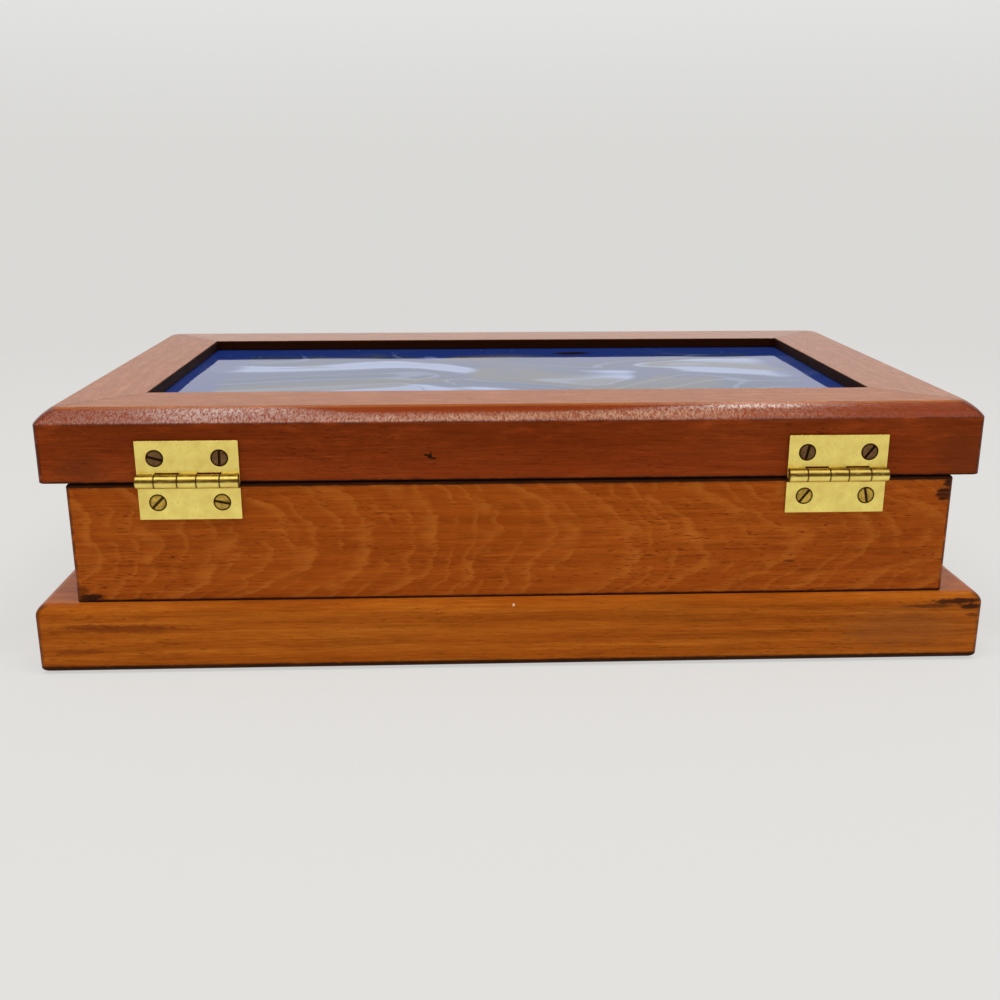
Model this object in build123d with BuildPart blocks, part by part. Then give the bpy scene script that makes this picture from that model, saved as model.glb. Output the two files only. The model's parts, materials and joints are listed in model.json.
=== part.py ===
"""Trinket box: a mitred wooden case on a wide base board, under a framed lid
that holds a glossy panel and turns on two small brass butt hinges.

Millimetres, +Z up, the front towards -Y and the hinges towards +Y.
The origin is the middle of the underside.
"""

import os
from math import asin, atan2, degrees, hypot, sqrt

from build123d import *

# Base board and the baize under it
BASE_WIDTH = 241.5
BASE_DEPTH = 142.4
BASE_THICKNESS = 17.8
BASE_CORNER_RADIUS = 1.5
BASE_TOP_ROUND = 2.8
BASE_BOTTOM_ROUND = 1.2
BASE_REAR_PROJECTION = 2.65
BAIZE_THICKNESS = 0.6
BAIZE_INSET = 3.0

# Case walls
CASE_WIDTH = 221.2
CASE_DEPTH = 129.0
WALL_HEIGHT = 30.7
WALL_THICKNESS = 12.7
WALL_CORNER_RADIUS = 1.2
WALL_TOP_EASING = 0.8
WALL_BOTTOM_EASING = 0.3

# Lid frame
LID_WIDTH = 234.0
LID_DEPTH = 136.0
LID_THICKNESS = 18.3
LID_CORNER_RADIUS = 1.5
RAIL_WIDTH = 22.4
MOULDING_INSET = 3.9
MOULDING_DROP = 3.5
MOULDING_RADIUS = 9.0
LIP_THICKNESS = 3.1
RABBET_WIDTH = 5.0
RAIL_EASING = 0.3
SEAM_GAP = 0.3

# Pieces inside the lid and the linings
PANEL_THICKNESS = 3.0
PANEL_CLEARANCE = 0.4
BACKING_THICKNESS = 6.0
LINING_THICKNESS = 1.5
LINING_CLEARANCE = 0.4

# Butt hinges
HINGE_SPACING = 160.4
AXIS_ABOVE_LID_BOTTOM = 0.8
LEAF_LENGTH = 25.0
LEAF_REACH = 9.95
LEAF_THICKNESS = 0.9
LEAF_CORNER_RADIUS = 0.4
PIN_DIAMETER = 1.6
PIN_CLEARANCE = 0.05
BODY_KNUCKLE_LENGTH = 5.5
KNUCKLE_GAP = 0.12
KNUCKLE_RELIEF = 0.1
LEAF_NOTCH_CLEARANCE = 0.2

# Hinge screws
SCREW_SPACING = 15.65
SCREW_FROM_AXIS = 5.6
SCREW_HEAD_DIAMETER = 4.2
SCREW_SHANK_DIAMETER = 2.1
SCREW_LENGTH = 9.5
SCREW_TIP_LENGTH = 2.0
SCREW_SLOT_WIDTH = 0.6
SCREW_SLOT_DEPTH = 0.45
SCREW_CLEARANCE = 0.05

# Screws that hold the base board to the walls
BASE_SCREW_HEAD_DIAMETER = 7.0
BASE_SCREW_HEAD_HEIGHT = 1.9
BASE_SCREW_SHANK_DIAMETER = 3.5
BASE_SCREW_LENGTH = 32.0
BASE_SCREW_TIP_LENGTH = 4.0
BASE_SCREW_SLOT_WIDTH = 1.0
BASE_SCREW_SLOT_DEPTH = 0.9
BASE_SCREW_SINK = 0.2
BASE_SCREW_FROM_CORNER = 40.0

# How far a cutting shape reaches past the wood, in millimetres, and its arc in degrees
CUT_MARGIN = 1.0
MOULDING_OVERRUN = 3.0

# Heights and places that follow from the sizes above
BASE_TOP = BAIZE_THICKNESS + BASE_THICKNESS
CASE_TOP = BASE_TOP + WALL_HEIGHT
LID_BOTTOM = CASE_TOP + SEAM_GAP
PANEL_TOP = LID_BOTTOM + LID_THICKNESS - LIP_THICKNESS
PANEL_BOTTOM = PANEL_TOP - PANEL_THICKNESS
BACKING_BOTTOM = PANEL_BOTTOM - BACKING_THICKNESS
REAR_FACE = BASE_DEPTH / 2 - BASE_REAR_PROJECTION
CASE_MIDDLE = REAR_FACE - CASE_DEPTH / 2
LID_MIDDLE = REAR_FACE - LID_DEPTH / 2
AXIS_HEIGHT = LID_BOTTOM + AXIS_ABOVE_LID_BOTTOM
BORE_RADIUS = PIN_DIAMETER / 2 + PIN_CLEARANCE
KNUCKLE_RADIUS = BORE_RADIUS + LEAF_THICKNESS
AXIS_OFFSET = KNUCKLE_RADIUS + KNUCKLE_RELIEF
LEAF_NOTCH = KNUCKLE_RADIUS + LEAF_NOTCH_CLEARANCE
LID_KNUCKLE_LENGTH = (LEAF_LENGTH - 2 * BODY_KNUCKLE_LENGTH - 4 * KNUCKLE_GAP) / 3

# Outward direction of each side of a mitred frame, seen from above
SIDES = {"rear": (0, 1), "front": (0, -1), "left": (-1, 0), "right": (1, 0)}

# Middle of each hinge along the rear edge
HINGES = {"left": -HINGE_SPACING / 2, "right": HINGE_SPACING / 2}

# Turn of each screw's slot in degrees, seen from behind: first screw, second screw
SLOT_TURNS = {
    ("left", "lid"): (78, 53),
    ("left", "body"): (53, -78),
    ("right", "lid"): (-15, 88),
    ("right", "body"): (45, -12),
}


def save(piece, name):
    """Label a finished piece and write it as one STEP file."""
    piece.label = name
    export_step(piece, f"parts/{name}.step")


def mitred_outline(side, width, depth, middle, stick_width):
    """Corners, seen from above, of one mitred stick of a rectangular frame."""
    out = Vector(*SIDES[side])
    along = Vector(-out.Y, out.X)
    reach, span = (depth / 2, width / 2) if out.Y else (width / 2, depth / 2)
    outer, inner = out * reach, out * (reach - stick_width)
    corners = [
        outer - along * span,
        outer + along * span,
        inner + along * (span - stick_width),
        inner - along * (span - stick_width),
    ]
    return [(corner.X, corner.Y + middle) for corner in corners]


def section_plane(side, width, depth, middle, bottom):
    """Plane across a stick: local x runs inwards from its outer face, local y runs up."""
    out = Vector(*SIDES[side])
    reach = depth / 2 if out.Y else width / 2
    origin = out * reach + Vector(0, middle, bottom)
    return Plane(origin=origin, x_dir=-out, z_dir=(-out).cross(Vector(0, 0, 1)))


def hinge_face(hinge):
    """Plane on the rear face at a hinge's axis: local x to the right seen from behind, y up."""
    origin = (HINGES[hinge], REAR_FACE, AXIS_HEIGHT)
    return Plane(origin=origin, x_dir=(-1, 0, 0), z_dir=(0, 1, 0))


def screw_places(hinge, carrier, out=0.0):
    """The two screws of one leaf on the rear face, each turned to its slot."""
    height = SCREW_FROM_AXIS if carrier == "lid" else -SCREW_FROM_AXIS
    turns = SLOT_TURNS[hinge, carrier]
    return [
        hinge_face(hinge).location * Location((shift, height, out), (0, 0, turn))
        for shift, turn in zip((-SCREW_SPACING / 2, SCREW_SPACING / 2), turns)
    ]


def base_screw_places(height):
    """Where the base screws stand, under the middle of the walls."""
    row_x = CASE_WIDTH / 2 - BASE_SCREW_FROM_CORNER
    side_x = (CASE_WIDTH - WALL_THICKNESS) / 2
    rows_y = (CASE_DEPTH - WALL_THICKNESS) / 2
    points = [(x, y) for x in (-row_x, row_x) for y in (-rows_y, rows_y)]
    points += [(-side_x, 0), (side_x, 0)]
    return [Location((x, CASE_MIDDLE + y, height), (180, 0, 0)) for x, y in points]


def outermost(edges, out):
    """The edge that lies furthest in one direction."""
    return max(edges, key=lambda edge: edge.center().dot(out))


def wall(side):
    """One mitred wall of the case, with its pilot holes."""
    out = Vector(*SIDES[side])
    with BuildPart() as stick:
        with BuildSketch(Plane.XY.offset(BASE_TOP)):
            with BuildLine():
                Polyline(
                    *mitred_outline(side, CASE_WIDTH, CASE_DEPTH, CASE_MIDDLE, WALL_THICKNESS),
                    close=True,
                )
            make_face()
            with Locations((0, CASE_MIDDLE)):
                RectangleRounded(CASE_WIDTH, CASE_DEPTH, WALL_CORNER_RADIUS, mode=Mode.INTERSECT)
        extrude(amount=WALL_HEIGHT)
        fillet(outermost(stick.edges().group_by(Axis.Z)[-1], out), WALL_TOP_EASING)
        fillet(outermost(stick.edges().group_by(Axis.Z)[0], out), WALL_BOTTOM_EASING)
        with Locations(*base_screw_places(BAIZE_THICKNESS + BASE_SCREW_SINK)):
            Cylinder(
                BASE_SCREW_SHANK_DIAMETER / 2 + SCREW_CLEARANCE,
                BASE_SCREW_LENGTH + SCREW_CLEARANCE,
                align=(Align.CENTER, Align.CENTER, Align.MAX),
                mode=Mode.SUBTRACT,
            )
        if side == "rear":
            with Locations(*[place for hinge in HINGES for place in screw_places(hinge, "body")]):
                Cylinder(
                    SCREW_SHANK_DIAMETER / 2 + SCREW_CLEARANCE,
                    SCREW_LENGTH - LEAF_THICKNESS + SCREW_CLEARANCE,
                    align=(Align.CENTER, Align.CENTER, Align.MAX),
                    mode=Mode.SUBTRACT,
                )
    return stick.part


def moulding_arc():
    """Centre, radius, start and turn of the arc that rounds a rail's top outer edge.

    It runs from the arris on the outer face to the rail's top, and a little past both.
    """
    chord = hypot(MOULDING_INSET, MOULDING_DROP)
    middle = Vector(MOULDING_INSET / 2, LID_THICKNESS - MOULDING_DROP / 2)
    outward = Vector(-MOULDING_DROP, MOULDING_INSET) / chord
    centre = middle - outward * sqrt(MOULDING_RADIUS**2 - chord**2 / 4)
    half_turn = degrees(asin(chord / 2 / MOULDING_RADIUS)) + MOULDING_OVERRUN
    facing = degrees(atan2(outward.Y, outward.X))
    return (centre.X, centre.Y), MOULDING_RADIUS, facing + half_turn, -2 * half_turn


def lid_rail(side):
    """One mitred rail of the lid: moulded outside, with a lip and a rabbet for the panel."""
    out = Vector(*SIDES[side])
    with BuildPart() as stick:
        with BuildSketch(Plane.XY.offset(LID_BOTTOM)):
            with BuildLine():
                Polyline(
                    *mitred_outline(side, LID_WIDTH, LID_DEPTH, LID_MIDDLE, RAIL_WIDTH),
                    close=True,
                )
            make_face()
            with Locations((0, LID_MIDDLE)):
                RectangleRounded(LID_WIDTH, LID_DEPTH, LID_CORNER_RADIUS, mode=Mode.INTERSECT)
        extrude(amount=LID_THICKNESS)
        section = section_plane(side, LID_WIDTH, LID_DEPTH, LID_MIDDLE, LID_BOTTOM)
        with BuildSketch(section):
            with BuildLine():
                arc = CenterArc(*moulding_arc())
                Polyline(
                    arc @ 1,
                    ((arc @ 1).X, LID_THICKNESS + CUT_MARGIN),
                    (-CUT_MARGIN, LID_THICKNESS + CUT_MARGIN),
                    (-CUT_MARGIN, (arc @ 0).Y),
                    arc @ 0,
                )
            make_face()
            with Locations((RAIL_WIDTH - RABBET_WIDTH, LID_THICKNESS - LIP_THICKNESS)):
                Rectangle(
                    RABBET_WIDTH + CUT_MARGIN,
                    LID_THICKNESS,
                    align=(Align.MIN, Align.MAX),
                )
        extrude(amount=LID_WIDTH, both=True, mode=Mode.SUBTRACT)
        fillet(outermost(stick.edges().group_by(Axis.Z)[0], out), RAIL_EASING)
        fillet(outermost(stick.edges().group_by(Axis.Z)[-1], -out), RAIL_EASING)
        if side == "rear":
            with Locations(*[place for hinge in HINGES for place in screw_places(hinge, "lid")]):
                Cylinder(
                    SCREW_SHANK_DIAMETER / 2 + SCREW_CLEARANCE,
                    SCREW_LENGTH - LEAF_THICKNESS + SCREW_CLEARANCE,
                    align=(Align.CENTER, Align.CENTER, Align.MAX),
                    mode=Mode.SUBTRACT,
                )
    return stick.part


def sheet(width, depth, middle, bottom, thickness):
    """A flat rectangular sheet, such as the panel or a lining."""
    with BuildPart() as flat:
        with BuildSketch(Plane.XY.offset(bottom)):
            with Locations((0, middle)):
                Rectangle(width, depth)
        extrude(amount=thickness)
    return flat.part


def base_board():
    """The solid base board: rounded over on top, eased below and drilled for its screws."""
    with BuildPart() as board:
        with BuildSketch(Plane.XY.offset(BAIZE_THICKNESS)):
            RectangleRounded(BASE_WIDTH, BASE_DEPTH, BASE_CORNER_RADIUS)
        extrude(amount=BASE_THICKNESS)
        for plane, breadth, length in (
            (Plane.YZ, BASE_DEPTH, BASE_WIDTH),
            (Plane.XZ, BASE_WIDTH, BASE_DEPTH),
        ):
            with BuildSketch(plane) as section:
                with Locations((0, BAIZE_THICKNESS)):
                    Rectangle(breadth, BASE_THICKNESS, align=(Align.CENTER, Align.MIN))
                fillet(section.vertices().group_by(Axis.Y)[-1], BASE_TOP_ROUND)
                fillet(section.vertices().group_by(Axis.Y)[0], BASE_BOTTOM_ROUND)
            extrude(amount=length / 2, both=True, mode=Mode.INTERSECT)
        with Locations(*base_screw_places(BAIZE_THICKNESS)):
            Cylinder(
                BASE_SCREW_SHANK_DIAMETER / 2 + SCREW_CLEARANCE,
                BASE_THICKNESS,
                align=(Align.CENTER, Align.CENTER, Align.MAX),
                mode=Mode.SUBTRACT,
            )
            Cylinder(
                BASE_SCREW_HEAD_DIAMETER / 2 + SCREW_CLEARANCE,
                BASE_SCREW_SINK,
                align=(Align.CENTER, Align.CENTER, Align.MAX),
                mode=Mode.SUBTRACT,
            )
        with Locations(*base_screw_places(BAIZE_THICKNESS + BASE_SCREW_SINK)):
            Cone(
                BASE_SCREW_SHANK_DIAMETER / 2 + SCREW_CLEARANCE,
                BASE_SCREW_HEAD_DIAMETER / 2 + SCREW_CLEARANCE,
                BASE_SCREW_HEAD_HEIGHT,
                align=(Align.CENTER, Align.CENTER, Align.MAX),
                mode=Mode.SUBTRACT,
            )
    return board.part


def screw(head_diameter, head_height, shank_diameter, length, tip_length, slot):
    """A slotted countersunk screw whose head lies at the origin and points to +Z."""
    slot_width, slot_depth = slot
    shank_radius = shank_diameter / 2
    with BuildPart() as blank:
        with BuildSketch(Plane.XZ):
            with BuildLine():
                Polyline(
                    (0, 0),
                    (head_diameter / 2, 0),
                    (shank_radius, -head_height),
                    (shank_radius, tip_length - length),
                    (0, -length),
                    close=True,
                )
            make_face()
        revolve(axis=Axis.Z)
        Box(
            head_diameter,
            slot_width,
            slot_depth,
            align=(Align.CENTER, Align.CENTER, Align.MAX),
            mode=Mode.SUBTRACT,
        )
    return blank.part


def screw_group(blank, places):
    """Copies of one screw at the given places."""
    with BuildPart() as group:
        with Locations(*places):
            add(blank)
    return group.part


def leaf(hinge, carrier):
    """One hinge leaf with its knuckles: the lid's leaf has three, the body's leaf two."""
    up = 1 if carrier == "lid" else -1
    pitch = LID_KNUCKLE_LENGTH / 2 + KNUCKLE_GAP + BODY_KNUCKLE_LENGTH / 2
    if carrier == "lid":
        knuckle_length, shifts = LID_KNUCKLE_LENGTH, (-2 * pitch, 0, 2 * pitch)
    else:
        knuckle_length, shifts = BODY_KNUCKLE_LENGTH, (-pitch, pitch)
    with BuildPart() as part:
        with BuildSketch(hinge_face(hinge)) as outline:
            with Locations((0, up * (LEAF_REACH + LEAF_NOTCH) / 2)):
                Rectangle(LEAF_LENGTH, LEAF_REACH - LEAF_NOTCH)
            far_corners = outline.vertices().group_by(Axis.Y)[-1 if up > 0 else 0]
            fillet(far_corners, LEAF_CORNER_RADIUS)
        extrude(amount=LEAF_THICKNESS)
        for shift in shifts:
            across = Plane(
                origin=(HINGES[hinge] + shift, REAR_FACE, AXIS_HEIGHT),
                x_dir=(0, 1, 0),
                z_dir=(1, 0, 0),
            )
            with BuildSketch(across):
                with Locations((AXIS_OFFSET, 0)):
                    Circle(KNUCKLE_RADIUS)
                with Locations((KNUCKLE_RELIEF, up * LEAF_NOTCH / 2)):
                    Rectangle(
                        LEAF_THICKNESS - KNUCKLE_RELIEF,
                        LEAF_NOTCH,
                        align=(Align.MIN, Align.CENTER),
                    )
                with Locations((AXIS_OFFSET, 0)):
                    Circle(BORE_RADIUS, mode=Mode.SUBTRACT)
            extrude(amount=knuckle_length / 2, both=True)
        with Locations(*screw_places(hinge, carrier)):
            Cone(
                SCREW_SHANK_DIAMETER / 2 + SCREW_CLEARANCE,
                SCREW_HEAD_DIAMETER / 2 + SCREW_CLEARANCE,
                LEAF_THICKNESS,
                align=(Align.CENTER, Align.CENTER, Align.MIN),
                mode=Mode.SUBTRACT,
            )
    return part.part


def pin(hinge):
    """The pin that both leaves of one hinge turn on."""
    across = Plane(
        origin=(HINGES[hinge], REAR_FACE + AXIS_OFFSET, AXIS_HEIGHT),
        x_dir=(0, 1, 0),
        z_dir=(1, 0, 0),
    )
    with BuildPart() as rod:
        with BuildSketch(across):
            Circle(PIN_DIAMETER / 2)
        extrude(amount=LEAF_LENGTH / 2, both=True)
    return rod.part


os.makedirs("parts", exist_ok=True)

# Base and case
save(
    sheet(
        BASE_WIDTH - 2 * BAIZE_INSET,
        BASE_DEPTH - 2 * BAIZE_INSET,
        0,
        0,
        BAIZE_THICKNESS,
    ),
    "base_baize",
)
save(base_board(), "base_board")
for side_name in SIDES:
    save(wall(side_name), f"{side_name}_wall")
save(
    sheet(
        CASE_WIDTH - 2 * (WALL_THICKNESS + LINING_CLEARANCE),
        CASE_DEPTH - 2 * (WALL_THICKNESS + LINING_CLEARANCE),
        CASE_MIDDLE,
        BASE_TOP,
        LINING_THICKNESS,
    ),
    "floor_lining",
)
base_screw = screw(
    BASE_SCREW_HEAD_DIAMETER,
    BASE_SCREW_HEAD_HEIGHT,
    BASE_SCREW_SHANK_DIAMETER,
    BASE_SCREW_LENGTH,
    BASE_SCREW_TIP_LENGTH,
    (BASE_SCREW_SLOT_WIDTH, BASE_SCREW_SLOT_DEPTH),
)
save(
    screw_group(base_screw, base_screw_places(BAIZE_THICKNESS + BASE_SCREW_SINK)),
    "base_screws",
)

# Lid: the panel and its backing fill the rabbet, and the lining covers the backing
for side_name in SIDES:
    save(lid_rail(side_name), f"lid_{side_name}_rail")
rabbet_inset = RAIL_WIDTH - RABBET_WIDTH
panel_size = (
    LID_WIDTH - 2 * (rabbet_inset + PANEL_CLEARANCE),
    LID_DEPTH - 2 * (rabbet_inset + PANEL_CLEARANCE),
)
save(sheet(*panel_size, LID_MIDDLE, PANEL_BOTTOM, PANEL_THICKNESS), "lid_panel")
save(sheet(*panel_size, LID_MIDDLE, BACKING_BOTTOM, BACKING_THICKNESS), "lid_backing")
save(
    sheet(*panel_size, LID_MIDDLE, BACKING_BOTTOM - LINING_THICKNESS, LINING_THICKNESS),
    "lid_lining",
)

# Hinges, their pins and their screws
hinge_screw = screw(
    SCREW_HEAD_DIAMETER,
    LEAF_THICKNESS,
    SCREW_SHANK_DIAMETER,
    SCREW_LENGTH,
    SCREW_TIP_LENGTH,
    (SCREW_SLOT_WIDTH, SCREW_SLOT_DEPTH),
)
for hinge_name in HINGES:
    save(pin(hinge_name), f"hinge_{hinge_name}_pin")
    for carrier_name in ("lid", "body"):
        save(leaf(hinge_name, carrier_name), f"hinge_{hinge_name}_{carrier_name}_leaf")
        places = screw_places(hinge_name, carrier_name, LEAF_THICKNESS)
        save(
            screw_group(hinge_screw, places),
            f"hinge_{hinge_name}_{carrier_name}_screws",
        )
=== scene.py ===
"""Trinket box with a framed glossy panel in its lid: its visible pieces, finishes and studio."""
import json
import math
import random

import bmesh
import bpy
from bpy.props import FloatProperty, FloatVectorProperty, IntProperty, PointerProperty
from mathutils import Matrix, Vector


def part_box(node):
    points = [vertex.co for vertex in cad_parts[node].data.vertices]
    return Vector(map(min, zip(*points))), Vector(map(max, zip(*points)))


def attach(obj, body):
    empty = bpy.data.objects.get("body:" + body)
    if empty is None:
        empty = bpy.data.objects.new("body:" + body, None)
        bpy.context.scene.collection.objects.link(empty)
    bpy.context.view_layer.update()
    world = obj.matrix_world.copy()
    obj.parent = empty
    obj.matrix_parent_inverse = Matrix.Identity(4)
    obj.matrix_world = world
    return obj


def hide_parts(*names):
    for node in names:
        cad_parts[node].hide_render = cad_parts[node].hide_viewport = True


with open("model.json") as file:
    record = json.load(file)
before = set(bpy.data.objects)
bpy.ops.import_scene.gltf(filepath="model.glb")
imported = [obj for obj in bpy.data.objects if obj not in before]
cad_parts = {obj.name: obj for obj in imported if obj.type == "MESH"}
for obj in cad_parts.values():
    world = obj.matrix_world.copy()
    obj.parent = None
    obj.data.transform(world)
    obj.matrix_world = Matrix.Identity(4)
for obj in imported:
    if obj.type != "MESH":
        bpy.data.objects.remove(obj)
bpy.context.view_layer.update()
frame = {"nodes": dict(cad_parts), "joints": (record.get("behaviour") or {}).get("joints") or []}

bl_info = {
    "name": "Trinket Box",
    "version": (1, 0, 0),
    "blender": (4, 5, 0),
    "location": "View3D > Sidebar > Trinket Box",
    "description": "Builds a hinged wooden trinket box piece by piece",
    "category": "Object",
}

MM = 0.001
REAR, LEFT, FRONT, RIGHT = range(4)
SIDE_NAMES = {REAR: "rear", LEFT: "left", FRONT: "front", RIGHT: "right"}


def box_mm(*nodes):
    """The lowest and highest corner, in millimetres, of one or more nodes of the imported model."""
    boxes = [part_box(node) for node in nodes]
    low = [min(box[0][i] for box in boxes) / MM for i in range(3)]
    high = [max(box[1][i] for box in boxes) / MM for i in range(3)]
    return Vector(low), Vector(high)


BASE_LOW, BASE_HIGH = box_mm("base_board")
CASE_LOW, CASE_HIGH = box_mm("rear_wall", "front_wall", "left_wall", "right_wall")
LID_LOW, LID_HIGH = box_mm("lid_rear_rail", "lid_front_rail", "lid_left_rail", "lid_right_rail")
RAIL_LOW, RAIL_HIGH = box_mm("lid_rear_rail")
WALL_LOW, WALL_HIGH = box_mm("rear_wall")
PANEL_LOW, PANEL_HIGH = box_mm("lid_panel")
LEAF_LOW, LEAF_HIGH = box_mm("hinge_left_lid_leaf")
SCREWS_LOW, SCREWS_HIGH = box_mm("hinge_left_lid_screws")
PIN_LOW, PIN_HIGH = box_mm("hinge_left_pin")
AXIS = Vector(frame["joints"][0]["pos_m"]) / MM
HINGE_MIDDLES = {side: sum(corner.x for corner in box_mm(f"hinge_{side}_lid_leaf")) / 2
                 for side in ("left", "right")}


# Settings


def length_setting(name, description, default, low, high):
    return FloatProperty(name=name, description=f"{description}, in millimetres", default=default,
                         min=low, max=high)


def share_setting(name, description, default):
    return FloatProperty(name=name, description=description, default=default, min=0.0, max=1.0,
                         subtype="FACTOR")


def colour_setting(name, description, default):
    return FloatVectorProperty(name=name, description=description, default=default, min=0.0,
                               max=1.0, subtype="COLOR", size=3)


class TimberSettings(bpy.types.PropertyGroup):
    """Edges and colours of the wooden pieces."""

    base_top_round: length_setting(
        "Base Top Round", "Radius of the base board's top edge", 2.8, 0.2, 8.0)
    base_bottom_round: length_setting(
        "Base Bottom Round", "Radius of the base board's lower edge", 1.2, 0.2, 4.0)
    corner_round: length_setting(
        "Corner Round", "Radius of the upright corners", 1.5, 0.2, 6.0)
    wall_top_easing: length_setting(
        "Wall Top Easing", "Radius of the walls' upper edges", 0.8, 0.1, 3.0)
    moulding_inset: length_setting(
        "Moulding Inset", "How far the lid's moulding reaches in", 3.9, 1.0, 10.0)
    moulding_drop: length_setting(
        "Moulding Drop", "How far the moulding's arris lies below the top", 3.5, 1.0, 10.0)
    moulding_radius: length_setting(
        "Moulding Radius", "Radius of the moulding's curve", 9.0, 4.0, 40.0)
    rabbet: length_setting(
        "Rabbet", "Width of the step that holds the panel", 5.0, 1.0, 12.0)
    mitre_gap: length_setting(
        "Mitre Gap", "Dark line left at each mitre", 0.05, 0.0, 0.5)
    lid_colour: colour_setting(
        "Lid Colour", "Stained wood of the lid's frame", (0.268, 0.042, 0.007))
    wall_colour: colour_setting(
        "Wall Colour", "Stained wood of the four walls", (0.388, 0.080, 0.007))
    base_colour: colour_setting(
        "Base Colour", "Stained wood of the base board", (0.430, 0.105, 0.008))
    varnish_tint: colour_setting(
        "Varnish Tint", "Warmth of what the varnish mirrors straight on", (0.80, 0.30, 0.08))
    varnish_index: FloatProperty(
        name="Varnish Index", description="Index of refraction of the thin satin varnish",
        default=1.32, min=1.0, max=2.0)
    lid_polish: share_setting(
        "Lid Polish", "How thickly the top of the lid's front rail is varnished", 0.50)


class PanelSettings(bpy.types.PropertyGroup):
    """The glossy panel in the lid."""

    wave_height: length_setting(
        "Wave Height", "Height of the glaze's slow waves", 0.05, 0.0, 0.5)
    deep_colour: colour_setting(
        "Deep Colour", "The glaze's deep blue ground", (0.011, 0.046, 0.27))
    middle_colour: colour_setting(
        "Middle Colour", "The grey blue between the streaks", (0.030, 0.075, 0.225))
    pale_colour: colour_setting(
        "Pale Colour", "The palest marbled streaks", (0.33, 0.42, 0.72))
    sand_colour: colour_setting(
        "Sand Colour", "The sandy marbled streaks", (0.11, 0.11, 0.11))


class HingeSettings(bpy.types.PropertyGroup):
    """The two brass butt hinges and their screws."""

    leaf_thickness: length_setting(
        "Leaf Thickness", "Thickness of the brass sheet", 0.9, 0.3, 3.0)
    lid_knuckle: length_setting(
        "Lid Knuckle", "Length of each knuckle on the lid's leaf", 4.507, 1.0, 10.0)
    body_knuckle: length_setting(
        "Body Knuckle", "Length of each knuckle on the body's leaf", 5.5, 1.0, 10.0)
    knuckle_gap: length_setting(
        "Knuckle Gap", "Gap between two knuckles", 0.12, 0.02, 1.0)
    screw_spacing: length_setting(
        "Screw Spacing", "Distance between a leaf's two screws", 15.65, 5.0, 24.0)
    screw_distance: length_setting(
        "Screw Distance", "Distance of the screws from the hinge's axis", 5.6, 3.0, 8.0)
    head_diameter: length_setting(
        "Head Diameter", "Diameter of a screw's head", 4.2, 2.0, 8.0)
    slot_width: length_setting(
        "Slot Width", "Width of a screw's slot", 0.68, 0.2, 1.5)
    brass_colour: colour_setting(
        "Brass Colour", "Bright brass of the leaves", (0.92, 0.735, 0.195))
    bronzed_colour: colour_setting(
        "Bronzed Colour", "Darkened brass of the lid's screws", (0.17, 0.09, 0.035))
    tarnished_colour: colour_setting(
        "Tarnished Colour", "Dull brass of the body's screws", (0.56, 0.36, 0.065))


class LiningSettings(bpy.types.PropertyGroup):
    """The felt linings and the baize under the base."""

    felt_colour: colour_setting(
        "Felt Colour", "Colour of the linings in the lid and on the floor", (0.022, 0.04, 0.14))
    baize_colour: colour_setting(
        "Baize Colour", "Colour of the baize under the base", (0.022, 0.085, 0.035))
    nap: length_setting(
        "Nap", "Unevenness of the felt's surface", 0.08, 0.0, 0.5)
    seed: IntProperty(name="Seed", description="Seed of the felt's unevenness", default=7, min=0)


class StageSettings(bpy.types.PropertyGroup):
    """Floor, light and camera."""

    floor_colour: colour_setting(
        "Floor Colour", "Colour of the plain floor", (0.775, 0.767, 0.748))
    backdrop_colour: colour_setting(
        "Backdrop Colour", "Colour of the backdrop at the horizon", (0.70, 0.693, 0.675))
    floor_paleness: share_setting(
        "Floor Paleness", "How much of the floor's seen colour is its own, without shade", 0.72)
    sky_light: FloatProperty(
        name="Sky Light", description="Strength of the soft light from all round",
        default=0.5, min=0.0, max=2.0)
    softbox_light: FloatVectorProperty(
        name="Softbox Light", description="Brightness of the long softbox that the varnish mirrors",
        size=3, default=(2.1, 1.72, 1.2), min=0.0, max=20.0)
    window_light: FloatVectorProperty(
        name="Window Light", size=3, default=(6.6, 6.8, 6.4), min=0.0, max=50.0,
        description="Brightness of the narrow windows that the varnish mirrors")
    lamp_power: FloatProperty(
        name="Lamp Power", description="Power of each of the two lamps overhead",
        default=1.5, min=0.0, max=50.0, unit="POWER")
    strip_power: FloatProperty(
        name="Strip Power", description="Power of the long strip lamp overhead",
        default=0.9, min=0.0, max=50.0, unit="POWER")
    camera_place: FloatVectorProperty(
        name="Camera Place", description="Where the camera stands", subtype="TRANSLATION",
        unit="LENGTH", size=3, default=(0.01459, 0.34029, 0.1234))
    camera_pitch: FloatProperty(
        name="Camera Pitch", description="How far the camera looks down", subtype="ANGLE",
        default=0.28367)
    camera_yaw: FloatProperty(
        name="Camera Yaw", description="How far the camera looks to the side", subtype="ANGLE",
        default=-0.03909)
    lens: length_setting(
        "Lens", "Focal length on a 36 mm wide sensor", 40.925, 10.0, 200.0)


# Node trees


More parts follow.
